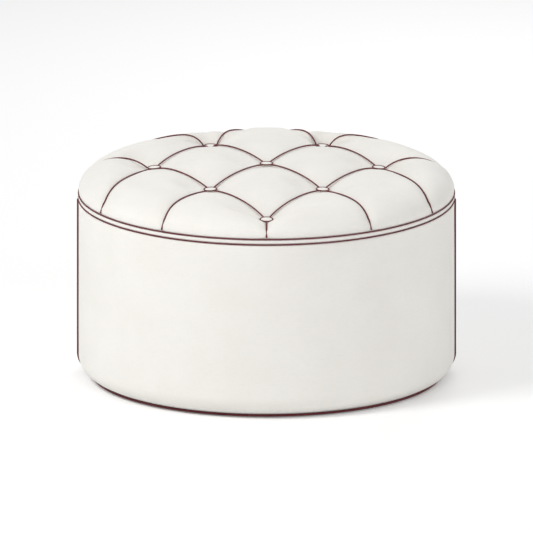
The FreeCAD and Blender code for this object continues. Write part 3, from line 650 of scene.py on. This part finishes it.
def under_buttons(spots, height):
    """Presses the cover down under each button and its trim."""
    for name, centre in TUFTS.items():
        normal = button_axes(name)[2]
        offset = spots - centre
        distance = np.hypot(offset[:, 0], offset[:, 1])
        near = distance < 3 * WELL_RADIUS
        floor = BUTTON_SEATS[name] - WELL_CLEAR - offset[near] @ normal[:2] / normal[2]
        limit = floor + WELL_SLOPE * np.maximum(0, distance[near] - WELL_RADIUS)
        blend = np.maximum(WELL_BLEND - np.abs(height[near] - limit), 0)
        height[near] = np.minimum(height[near], limit) - blend**2 / (4 * WELL_BLEND)
    return height


def relief(cloth, size, level):
    """Noise of a height and of waves per metre over the cloth."""
    height, waves = size
    return height * np.array([noise.noise(Vector((x * waves, y * waves, level))) for x, y in cloth])


def gathers(spots, cloth):
    """Small puckers round the buttons and along the welt, and the softness of the filling."""
    total = np.zeros(len(spots))
    coarse, fine = BUTTON_PUCKER_COUNTS
    for k, centre in enumerate(TUFTS.values()):
        offset = spots - centre
        distance = np.hypot(offset[:, 0], offset[:, 1])
        turn = np.arctan2(offset[:, 1], offset[:, 0])
        ripple = np.sin(coarse * turn + 1.3 * k) + 0.6 * np.sin(fine * turn + 2.1 * k)
        near = np.exp(-(((distance - BUTTON_PUCKER_RING) / BUTTON_PUCKER_WIDTH) ** 2))
        total += BUTTON_PUCKER * ripple * near
    along = np.hypot(cloth[:, 0], cloth[:, 1])
    turn = np.arctan2(cloth[:, 1], cloth[:, 0])
    pucker = np.sin(WELT_PUCKER_COUNT * turn + 2 * np.sin(7 * turn)) * (0.6 + 0.4 * np.sin(23 * turn + 1))
    inner, outer = WELT_PUCKER_ZONE
    total += WELT_PUCKER * pucker * smoothstep(SEAT_REACH - inner, SEAT_REACH - outer, along)
    return total + relief(cloth, SOFT_RELIEF, 0.3) + relief(cloth, FINE_RELIEF, 1.7)


def seat_surface(cloth, drop=None, puckers=True):
    """Places on the seat for places on the flat cloth. drop overrides the tufting's depth.

    Over the crown the cover is drawn straight down, and round the rim square to its surface.
    """
    along = np.hypot(cloth[:, 0], cloth[:, 1])
    out = cloth / np.maximum(along, 1e-9)[:, None]
    radius = np.interp(along, profile_along, profile_radius)
    height = np.interp(along, profile_along, profile_height)
    slope_r = np.interp(along, profile_along, profile_slope_r)
    slope_z = np.interp(along, profile_along, profile_slope_z)
    spots = out * radius[:, None]
    depth, fold = tufting(spots)
    if drop is not None:
        depth = drop
    depth = depth * hold_at_welt(along)
    if puckers:
        inner, outer = PUCKER_FADE
        depth = depth - gathers(spots, cloth) * smoothstep(SEAT_REACH + outer, SEAT_REACH - inner, along)
    round_rim = smoothstep(*RIM_TURN, radius)
    lean = -slope_z * round_rim
    rise = 1 - round_rim + slope_r * round_rim
    size = np.hypot(lean, rise)
    flat = spots - out * (depth * lean / size)[:, None]
    height = height - depth * rise / size
    if drop is None:
        height = under_buttons(flat, height)
    return np.column_stack([flat, height]), fold


# Mesh of the seat: steps along pleats and on the roll, points round the rim, and steps round
# buttons, in the band inside the rim and in the fill
CREASE_STEP = 0.004
ROLL_STEP = 0.003
RIM_COUNT = 900
RING_STEP = 0.0022
ROW_STEP = 0.0034
FILL_STEP = 0.0058
# Width of that band, and of the cells in which neighbours are looked up
RIM_BAND = 0.03
CELL = 0.006
# Least distances: round buttons, beside pleats (and per distance from them), in band and fill
RING_LEAST = 0.0009
ROW_LEAST = 0.0010
ROW_SPREAD = 0.32
BAND_LEAST = 0.0020
FILL_LEAST = 0.72 * FILL_STEP
# Margins of rows and band to the cloth's edge, and of the fill to the rim
ROW_MARGIN = 0.0015
BAND_MARGIN = 0.0026
FILL_MARGIN = 0.028
# Rings of points round each button, and rows of points beside each pleat
BUTTON_RINGS = (0.006, 0.0115, 0.0135, 0.0155, 0.018, 0.021, 0.0245, 0.0285)
PLEAT_ROWS = (0.0011, 0.0025, 0.0043, 0.0066, 0.0095, 0.013, 0.0172, 0.022)


class Points:
    """Places on the flat cloth, kept where no other place is too near."""

    def __init__(self):
        self.kept = []
        self.cells = {}

    def far_enough(self, spot, least):
        column, row = int(spot[0] // CELL), int(spot[1] // CELL)
        reach = int(least // CELL) + 1
        for i in range(column - reach, column + reach + 1):
            for j in range(row - reach, row + reach + 1):
                for k in self.cells.get((i, j), ()):
                    across, along = self.kept[k][0] - spot[0], self.kept[k][1] - spot[1]
                    if across**2 + along**2 < least * least:
                        return False
        return True

    def keep(self, spot):
        """Keeps a place and returns its number."""
        self.cells.setdefault((int(spot[0] // CELL), int(spot[1] // CELL)), []).append(len(self.kept))
        self.kept.append((float(spot[0]), float(spot[1])))
        return len(self.kept) - 1

    def keep_if_far(self, spots, least):
        for spot in spots:
            if self.far_enough(spot, least):
                self.keep(spot)

    def same_or_new(self, spot):
        """The number of a place that is already kept here, or else of a new one."""
        for k, (x, y) in enumerate(self.kept):
            if abs(x - spot[0]) + abs(y - spot[1]) < 1e-4:
                return k
        return self.keep(spot)


def crease_route(line):
    """Places on the flat cloth along a pleat, and down the roll to the welt for a rim pleat."""
    start, end, ends = line[:3]
    count = int(np.linalg.norm(end - start) / CREASE_STEP)
    route = to_cloth(start + np.linspace(0, 1, count + 1)[:, None] * (end - start))
    if ends[1] is None:
        out = end / np.linalg.norm(end)
        lower = np.arange(RIM_ALONG + ROLL_STEP, SEAT_REACH, ROLL_STEP)
        route = np.vstack([route[:-1], lower[:, None] * out])
    return route


def rows_beside(route, offset):
    """Places at a distance from a pleat, on both sides of it."""
    ways = np.gradient(route, axis=0)
    ways /= np.linalg.norm(ways, axis=1)[:, None]
    beside = np.stack([-ways[:, 1], ways[:, 0]], 1)
    spots = np.vstack([route + beside * offset, route - beside * offset])
    return spots[np.hypot(spots[:, 0], spots[:, 1]) < SEAT_REACH - ROW_MARGIN]


def seat_cloth_points():
    """Places on the flat cloth, and pairs of them that pleats and the edge run through."""
    points = Points()
    routes = [crease_route(line) for line in PLEATS]
    creases = []
    for route in routes:
        chain = [points.same_or_new(spot) for spot in route]
        creases += list(zip(chain, chain[1:]))
    rim = [points.keep(p) for p in ring_points(SEAT_REACH, 0, RIM_COUNT)[:, :2]]
    creases += list(zip(rim, rim[1:] + rim[:1]))
    for centre in TUFTS.values():
        for radius in BUTTON_RINGS:
            ring = ring_points(radius, 0, int(2 * math.pi * radius / RING_STEP), centre)
            points.keep_if_far(to_cloth(ring[:, :2]), RING_LEAST)
    for offset in PLEAT_ROWS:
        for route in routes:
            points.keep_if_far(rows_beside(route, offset), max(ROW_LEAST, offset * ROW_SPREAD))
    along = SEAT_REACH - BAND_MARGIN
    while along > RIM_ALONG - RIM_BAND:
        ring = ring_points(along, 0, int(2 * math.pi * along / ROW_STEP))
        points.keep_if_far(ring[:, :2], BAND_LEAST)
        along -= ROLL_STEP
    rows = int(SEAT_REACH / FILL_STEP) + 1
    for j in range(-rows, rows + 1):
        row = [((i + 0.5 * (j % 2)) * FILL_STEP, j * FILL_STEP * 0.866) for i in range(-rows, rows + 1)]
        inside = [spot for spot in row if math.hypot(*spot) < RIM_ALONG - FILL_MARGIN]
        points.keep_if_far(inside, FILL_LEAST)
    return points.kept, creases


# The seat's underside, which lies on the foam: radius and height above its lowest level
UNDER_RINGS = ((0.362, 0.0), (0.2, 0.004))


def make_seat():
    kept, creases = seat_cloth_points()
    made = delaunay_2d_cdt([Vector(p) for p in kept], creases, [], 0, 1e-6)
    cloth = np.array([(p.x, p.y) for p in made[0]])
    faces = [tuple(face) for face in made[2]]
    vertices, fold = seat_surface(cloth)
    along = np.hypot(cloth[:, 0], cloth[:, 1])
    rim = [k for k in range(len(cloth)) if along[k] > SEAT_REACH - 1e-5]
    rim.sort(key=lambda k: math.atan2(cloth[k][1], cloth[k][0]))
    count = len(rim)
    turns = np.array([math.atan2(cloth[k][1], cloth[k][0]) for k in rim])
    rings = [
        np.stack([radius * np.cos(turns), radius * np.sin(turns), np.full(count, SEAT_BOTTOM + rise)], 1)
        for radius, rise in UNDER_RINGS
    ]
    outer = len(vertices)
    inner = outer + count
    centre = inner + count
    vertices = np.vstack([vertices, *rings, [[0, 0, SEAT_BOTTOM + UNDER_RINGS[-1][1]]]])
    fold = np.concatenate([fold, np.zeros(2 * count + 1)])
    for k in range(count):
        m = (k + 1) % count
        faces.append((rim[m], rim[k], outer + k, outer + m))
        faces.append((outer + m, outer + k, inner + k, inner + m))
        faces.append((inner + m, inner + k, centre))
    flat = np.vstack([cloth, vertices[len(cloth) :, :2]])
    uvs = [flat[k] for face in faces for k in face]
    seat = make_piece("seat_upholstery", vertices, faces, uvs, upholstery, "ivory_upholstery")
    # Painted shade: darker along the pleats, fading out beside them
    set_painted_shade(seat, fold)
    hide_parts("seat_cover")


make_seat()


def pleat_cord_route(line):
    """A cord's route in the bottom of its fold, from beside its button."""
    start, end, ends, depth = line[:4]
    length = np.linalg.norm(end - start)
    clear = (WELL_RADIUS + CORD_END_CLEAR) / length
    last = 1 - clear if ends[1] is not None else 1.0
    shares = np.linspace(clear, last, max(8, int(length / CORD_STEP)))
    route = to_cloth(start + shares[:, None] * (end - start))
    drop = pleat_depth(line, shares)
    if ends[1] is None:
        out = end / np.linalg.norm(end)
        lower = np.arange(RIM_ALONG + ROLL_STEP, SEAT_REACH - PLEAT_CORD_RADIUS, ROLL_STEP)
        route = np.vstack([route[:-1], lower[:, None] * out])
        drop = np.concatenate([drop[:-1], np.full(len(lower), depth)])
    hold = hold_at_welt(np.hypot(route[:, 0], route[:, 1]))
    fold_bottom = (drop + fold_lift(drop)) * hold
    lift = np.maximum(fold_lift(drop) * hold, PLEAT_CORD_RADIUS + CORD_CLEAR)
    return seat_surface(route, (fold_bottom - lift) / hold, puckers=False)[0]


def make_pleat_cords():
    parts = [tube(pleat_cord_route(line), PLEAT_CORD_RADIUS, sides=10) for line in PLEATS]
    cords = make_piece("pleat_cords", *joined(parts), piping_cloth, "maroon_piping")
    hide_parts("pleat_piping")


make_pleat_cords()


# Buttons


BUTTON_SIDES = 48
# Slopes at which the dome is stepped, in degrees
DOME_TURNS = (12, 24, 36, 48, 60, 71, 81)
BUTTON_GATHER = 0.014
BUTTON_GATHERS = 20


def button_profile():
    """Shares of the button's radius and height, from its underside to the top of its dome."""
    edge = TRIM_LEVEL / BUTTON_DOME
    profile = [(0.97, 0.0), (1.0, edge / 2), (1.0, edge)]
    turns = np.radians(DOME_TURNS)
    return profile + [(math.cos(a), edge + (1 - edge) * math.sin(a)) for a in turns]


def make_button(number, name):
    """A covered button: a dome whose cloth gathers at its edge."""
    sides = BUTTON_SIDES
    turns = np.arange(sides) * 2 * math.pi / sides
    wave = BUTTON_GATHER * np.sin(BUTTON_GATHERS * turns + number)
    rings = []
    for share, rise in button_profile():
        across = BUTTON_RADIUS * share * (1 + wave * max(0.0, share - 0.55) * (1.4 - rise))
        level = np.full(sides, BUTTON_DOME * rise)
        rings.append(np.stack([across * np.cos(turns), across * np.sin(turns), level], 1))
    local = np.vstack(rings + [[[0, 0, BUTTON_DOME]]])
    vertices = button_place(name, local)
    faces = []
    for i in range(len(rings) - 1):
        for k in range(sides):
            m = (k + 1) % sides
            faces.append((i * sides + k, i * sides + m, (i + 1) * sides + m, (i + 1) * sides + k))
    top = (len(rings) - 1) * sides
    faces += [(top + k, top + (k + 1) % sides, len(vertices) - 1) for k in range(sides)]
    faces.append(tuple(range(sides))[::-1])
    uvs = [tuple(vertices[k][:2]) for face in faces for k in face]
    button = make_piece(f"covered_button_{number}", vertices, faces, uvs, upholstery, "ivory_upholstery")
    # Painted shade: darker towards the button's base, where it meets the cover
    set_painted_shade(button, np.clip(0.7 - local[:, 2] / BUTTON_DOME, 0, 1))
    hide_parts(f"tuft_button_{number}")


for number, name in enumerate(TUFT_NAMES, 1):
    make_button(number, name)


def make_button_trims():
    ring = ring_points(TRIM_RING, TRIM_LEVEL, 64)
    parts = [tube(button_place(name, ring), TRIM_RADIUS, closed=True, sides=10) for name in TUFT_NAMES]
    trims = make_piece("button_trims", *joined(parts), piping_cloth, "maroon_piping")
    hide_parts("button_piping")


make_button_trims()


# Welt and pipings round the drum


# Points round the welt and its edge cords, and round the welt's own section
WELT_COUNT = 720
WELT_SIDES = 20


def make_welt():
    """The covered welt, whose cloth swells and ripples a little."""
    turns = np.arange(WELT_COUNT) * 2 * math.pi / WELT_COUNT
    swell = 1 + 0.0002 * np.sin(9 * turns) + 0.00016 * np.sin(31 * turns + 1)
    ring = ring_points(WELT_RING, WELT_LEVEL, WELT_COUNT)
    ring[:, :2] *= swell[:, None]
    vertices, faces, uvs = tube(ring, WELT_RADIUS - 0.0002, closed=True, sides=WELT_SIDES)
    rows = vertices.reshape(WELT_COUNT, WELT_SIDES, 3)
    middle = rows.mean(1)[:, None, :]
    ripple = [
        [[noise.noise(Vector((k * 0.9, j * 0.8, 0)))] for j in range(WELT_SIDES)] for k in range(WELT_COUNT)
    ]
    rows = middle + (rows - middle) * (1 + 0.02 * np.array(ripple))
    welt = make_piece("welt_band", rows.reshape(-1, 3), faces, uvs, upholstery, "ivory_upholstery")
    set_painted_shade(welt, np.zeros(WELT_COUNT * WELT_SIDES))
    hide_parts("welt_cover")


make_welt()


def make_welt_edge_cords():
    """Fine contrast cords in the notches above and below the welt."""
    low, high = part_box("welt_edge_piping")
    reach = high.x - EDGE_CORD_RADIUS
    parts = []
    for level in (low.z + EDGE_CORD_RADIUS, high.z - EDGE_CORD_RADIUS):
        ring = ring_points(reach, level, WELT_COUNT)
        parts.append(tube(ring, EDGE_CORD_RADIUS, closed=True, sides=10))
    cords = make_piece("welt_edge_cords", *joined(parts), piping_cloth, "maroon_piping")
    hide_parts("welt_edge_piping")


make_welt_edge_cords()


def arc(radius, turns):
    """Steps inwards and upwards along a quarter round, by turns from its end on the flat."""
    return [(radius * (1 - math.sin(a)), radius * (1 - math.cos(a))) for a in turns]


def drum_profile():
    """Radius and height of the side cloth, from its turned-under edge to its top fold."""
    margin = [(MARGIN_INNER + step, UNDERSIDE) for step in (0, 0.010, 0.020)]
    bottom = arc(BOTTOM_EDGE_RADIUS, np.linspace(0, math.pi / 2, 26))
    corner = [(DRUM_RADIUS - inwards, UNDERSIDE + up) for inwards, up in bottom]
    levels = np.linspace(UNDERSIDE + BOTTOM_EDGE_RADIUS, SIDE_TOP - SHOULDER_RADIUS, 72)[1:]
    straight = [(DRUM_RADIUS, level) for level in levels]
    top = arc(SHOULDER_RADIUS, np.linspace(math.pi / 2, 0, 7)[1:])
    shoulder = [(DRUM_RADIUS - inwards, SIDE_TOP - up) for inwards, up in top]
    fold = [(FOLD_END + step, SIDE_TOP) for step in (0.004, 0)]
    return np.array(margin + corner + straight + shoulder + fold)


SIDE_COLUMNS = 420
# Gap between the two cloths at a seam, to each side of it
SEAM_MARGIN = 0.0016
# How far the side cloth is drawn in at a seam: depth and width of the narrow and the wide dip
SEAM_DIPS = ((0.0016, 0.005), (0.0007, 0.02))
# Side cloth: the filling's softness, how far it is drawn in, its gathers (height and count)
# under the drum, the rise of its margin there, and its gathers at the top
SIDE_SOFTNESS = 0.0011
SIDE_SETTLE = 0.0005
UNDER_GATHER = (0.0004, 190)
UNDER_RISE = 0.0005
TOP_GATHER = (0.0002, 240)
# Radii between which those under the drum begin, and between which its margin rises
GATHER_START = (0.33, 0.36)
MARGIN_RISE = (0.375, 0.345)


def side_softness(turn, level):
    """Soft unevenness of the filling, about -1 to 1, without a step where the halves meet."""
    x, y = math.cos(turn), math.sin(turn)
    coarse = noise.noise(Vector((2.2 * x, 2.2 * y, 3.2 * level)))
    return coarse + 0.35 * noise.noise(Vector((7 * x, 7 * y, 5 * level + 4)))


def make_side_cloth(label, start):
    """Half of the side cloth, drawn in a little at its two seams and gathered underneath."""
    profile = drum_profile()
    along = np.concatenate([[0], np.cumsum(np.hypot(*np.diff(profile, axis=0).T))])
    margin = SEAM_MARGIN / DRUM_RADIUS
    turns = np.linspace(start + margin, start + math.pi - margin, SIDE_COLUMNS + 1)
    seam = np.minimum(turns - turns[0], turns[-1] - turns) * DRUM_RADIUS
    width = len(turns)
    radius = np.repeat(profile[:, :1], width, 1)
    height = np.repeat(profile[:, 1:], width, 1)
    soft = np.array([[side_softness(t, z) for t in turns] for z in profile[:, 1]])
    upright = smoothstep(UNDERSIDE + 0.004, UNDERSIDE + 0.06, height)
    upright = upright * smoothstep(SIDE_TOP, SIDE_TOP - 0.03, height)
    dip = sum(depth * np.exp(-seam / reach) for depth, reach in SEAM_DIPS)
    under = smoothstep(UNDERSIDE + 0.030, UNDERSIDE + 0.004, height)
    gather_height, count = UNDER_GATHER
    gather = np.sin(count * turns + 3 * np.sin(11 * turns)) * (0.55 + 0.45 * np.sin(17 * turns))
    top_height, count = TOP_GATHER
    top_gather = np.sin(count * turns + 2 * np.sin(13 * turns))
    top_gather = top_gather * smoothstep(SIDE_TOP - 0.012, SIDE_TOP - 0.003, height)
    radius = radius + SIDE_SOFTNESS * soft * upright - SIDE_SETTLE
    radius = radius - dip * smoothstep(UNDERSIDE, UNDERSIDE + 0.02, height)
    radius = radius + gather_height * gather * under * smoothstep(*GATHER_START, radius)
    radius = radius + top_height * top_gather
    height = height + UNDER_RISE * (1 + gather) * under * smoothstep(*MARGIN_RISE, radius)
    vertices = np.stack([radius * np.cos(turns), radius * np.sin(turns), height], 2).reshape(-1, 3)
    faces, uvs = [], []
    for i in range(len(profile) - 1):
        for k in range(SIDE_COLUMNS):
            corners = (i * width + k, i * width + k + 1, (i + 1) * width + k + 1, (i + 1) * width + k)
            faces.append(corners)
            uvs += [(turns[c % width] * DRUM_RADIUS, along[c // width]) for c in corners]
    cloth = make_piece(f"side_cloth_{label}", vertices, faces, uvs, upholstery, "ivory_upholstery")
    # Painted shade: darker along the two seams, beside the seam cords
    set_painted_shade(cloth, np.tile(np.exp(-seam / 0.004), len(profile)))
    solid = cloth.modifiers.new("thickness", "SOLIDIFY")
    solid.thickness = FABRIC * 0.8
    solid.offset = -1
    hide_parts(f"side_cover_{label}")


make_side_cloth("back", 0.0)
make_side_cloth("front", math.pi)


def make_side_piping(label, turn):
    """The cord up a side seam, which follows the rounded bottom edge."""
    radius = SEAM_CORD_RADIUS
    ring = BOTTOM_EDGE_RADIUS - FABRIC + radius
    centre = DRUM_RADIUS - BOTTOM_EDGE_RADIUS
    bend = np.radians(np.linspace(-69, 0, 20))
    level = UNDERSIDE + BOTTOM_EDGE_RADIUS
    low = [(centre + ring * math.cos(a), level + ring * math.sin(a)) for a in bend]
    levels = np.linspace(level, SIDE_TOP - radius, 90)[1:]
    route = np.array(low + [(centre + ring, z) for z in levels])
    points = np.stack([route[:, 0] * math.cos(turn), route[:, 0] * math.sin(turn), route[:, 1]], 1)
    piping = make_piece(f"seam_cord_{label}", *tube(points, radius), piping_cloth, "maroon_piping")
    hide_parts(f"side_piping_{label}")


make_side_piping("right", 0.0)
make_side_piping("left", math.pi)


def make_base_cord():
    low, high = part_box("base_piping")
    radius = (high.z - low.z) / 2
    ring = ring_points(high.x - radius, (low.z + high.z) / 2, 600)
    cord = make_piece("base_cord", *tube(ring, radius, closed=True, sides=14), piping_cloth, "maroon_piping")
    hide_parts("base_piping")


make_base_cord()


# Underside


DUST_CLOTH_HEM = 0.014
DUST_CLOTH_THICK = 0.0004
DUST_CLOTH_SAG = 0.0018
DUST_CLOTH_SIDES = 360


def dust_cloth_drop(reach, turns, hem_start):
    """How far the dust cloth hangs below its solid's top at a distance from the middle."""
    sag = DUST_CLOTH_SAG * (1 - smoothstep(0.0, 0.27, reach)) + DUST_CLOTH_THICK
    wave = np.array([noise.noise(Vector((3 * math.cos(t), 3 * math.sin(t), 9 * reach))) for t in turns])
    drop = sag + DUST_CLOTH_THICK * (wave + 1) * smoothstep(0.02, 0.2, reach)
    return drop + DUST_CLOTH_THICK if reach > hem_start else drop


def make_dust_cloth():
    """The black cloth under the drum, with its turned-in hem and a slight sag in the middle."""
    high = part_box("dust_cover")[1]
    hem_start = high.x - DUST_CLOTH_HEM
    reaches = [*np.linspace(0.02, hem_start, 40), hem_start + 0.0005, high.x - 0.001]
    sides = DUST_CLOTH_SIDES
    turns = np.arange(sides) * 2 * math.pi / sides
    level = high.z - 0.0001
    vertices = [[0, 0, level - DUST_CLOTH_SAG - DUST_CLOTH_THICK]]
    for reach in reaches:
        drop = dust_cloth_drop(reach, turns, hem_start)
        vertices += [[reach * math.cos(t), reach * math.sin(t), level - d] for t, d in zip(turns, drop)]
    faces = [(0, 1 + (k + 1) % sides, 1 + k) for k in range(sides)]
    for i in range(len(reaches) - 1):
        for k in range(sides):
            a, b = 1 + i * sides + k, 1 + i * sides + (k + 1) % sides
            faces.append((a, b, b + sides, a + sides))
    uvs = [tuple(vertices[k][:2]) for face in faces for k in face]
    cloth = make_piece("dust_cloth", vertices, faces, uvs, dust_cloth, "dust_cloth")
    solid = cloth.modifiers.new("thickness", "SOLIDIFY")
    solid.thickness = DUST_CLOTH_THICK
    solid.offset = 1
    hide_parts("dust_cover")


STAPLE_COUNT = 54
STAPLE_WIRE = 0.00035
STAPLE_HALF_WIDTH = 0.0045
STAPLE_LEG = 0.0009
STAPLE_DROP = 0.0014


def make_staples():
    """Wire staples through the hem of the dust cloth."""
    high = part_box("dust_cover")[1]
    ring = high.x - DUST_CLOTH_HEM / 2
    up = np.array([0, 0, STAPLE_LEG])
    parts = []
    for k in range(STAPLE_COUNT):
        turn = (k + 0.5) * 2 * math.pi / STAPLE_COUNT + 0.03 * math.sin(5 * k)
        middle = np.array([ring * math.cos(turn), ring * math.sin(turn), UNDERSIDE - STAPLE_DROP])
        half = np.array([-math.sin(turn), math.cos(turn), 0]) * STAPLE_HALF_WIDTH
        wire = [middle - half + up, middle - half, middle + half, middle + half + up]
        parts.append(tube(wire, STAPLE_WIRE, sides=6))
    make_piece("dust_cloth_staples", *joined(parts), CARRIED["zinc_steel"], "zinc_steel")


make_dust_cloth()
make_staples()


# Floor, light and camera


FLOOR_SIZE = 30
FLOOR_TONE = (0.93, 0.93, 0.93)
# Added where the camera sees the floor, so that it is as white as the picture's ground
FLOOR_GLOW = 0.14
WORLD_STRENGTH = 0.55
LIGHT_TARGET = Vector((0, 0, 0.25))


def make_stage():
    bpy.ops.mesh.primitive_plane_add(size=FLOOR_SIZE, location=(0, 0, 0))
    floor = bpy.context.object
    floor.name = "floor"
    material, tree, shader = new_material("floor", FLOOR_TONE, 0.9)
    shader.inputs["Specular IOR Level"].default_value = 0.0
    glow = node(tree, "ShaderNodeEmission")
    seen = node(tree, "ShaderNodeLightPath").outputs["Is Camera Ray"]
    tree.links.new(calc(tree, "MULTIPLY", seen, FLOOR_GLOW), glow.inputs["Strength"])
    both = node(tree, "ShaderNodeAddShader")
    tree.links.new(shader.outputs[0], both.inputs[0])
    tree.links.new(glow.outputs[0], both.inputs[1])
    tree.links.new(both.outputs[0], tree.nodes["Material Output"].inputs["Surface"])
    floor.data.materials.append(material)


def area_light(name, place, size, power):
    lamp = bpy.data.lights.new(name, "AREA")
    lamp.shape = "DISK"
    lamp.size = size
    lamp.energy = power
    lamp_object = bpy.data.objects.new(name, lamp)
    lamp_object.location = place
    aim = LIGHT_TARGET - Vector(place)
    lamp_object.rotation_euler = aim.to_track_quat("-Z", "Y").to_euler()
    bpy.context.scene.collection.objects.link(lamp_object)


def make_light():
    world = bpy.data.worlds.new("studio")
    bpy.context.scene.world = world
    world.use_nodes = True
    background = world.node_tree.nodes["Background"]
    background.inputs["Color"].default_value = (1, 1, 1, 1)
    background.inputs["Strength"].default_value = WORLD_STRENGTH
    area_light("key", (-2.2, -1.6, 2.6), 1.4, 54)
    area_light("fill", (2.6, -2.4, 1.6), 2.0, 22)
    area_light("rim", (0.6, 2.8, 2.2), 1.6, 22)


def make_camera():
    data = bpy.data.cameras.new("camera")
    data.type = "ORTHO"
    data.ortho_scale = VIEW_WIDTH
    camera = bpy.data.objects.new("camera", data)
    sine, cosine = math.sin(VIEW_ELEVATION), math.cos(VIEW_ELEVATION)
    target = Vector((0, 0, VIEW_CENTRE_HEIGHT / cosine))
    camera.location = target + Vector((0, -cosine, sine)) * CAMERA_DISTANCE
    camera.rotation_euler = (math.pi / 2 - VIEW_ELEVATION, 0, 0)
    bpy.context.scene.collection.objects.link(camera)
    bpy.context.scene.camera = camera


make_stage()
make_light()
make_camera()
bpy.context.scene.view_settings.view_transform = "Standard"
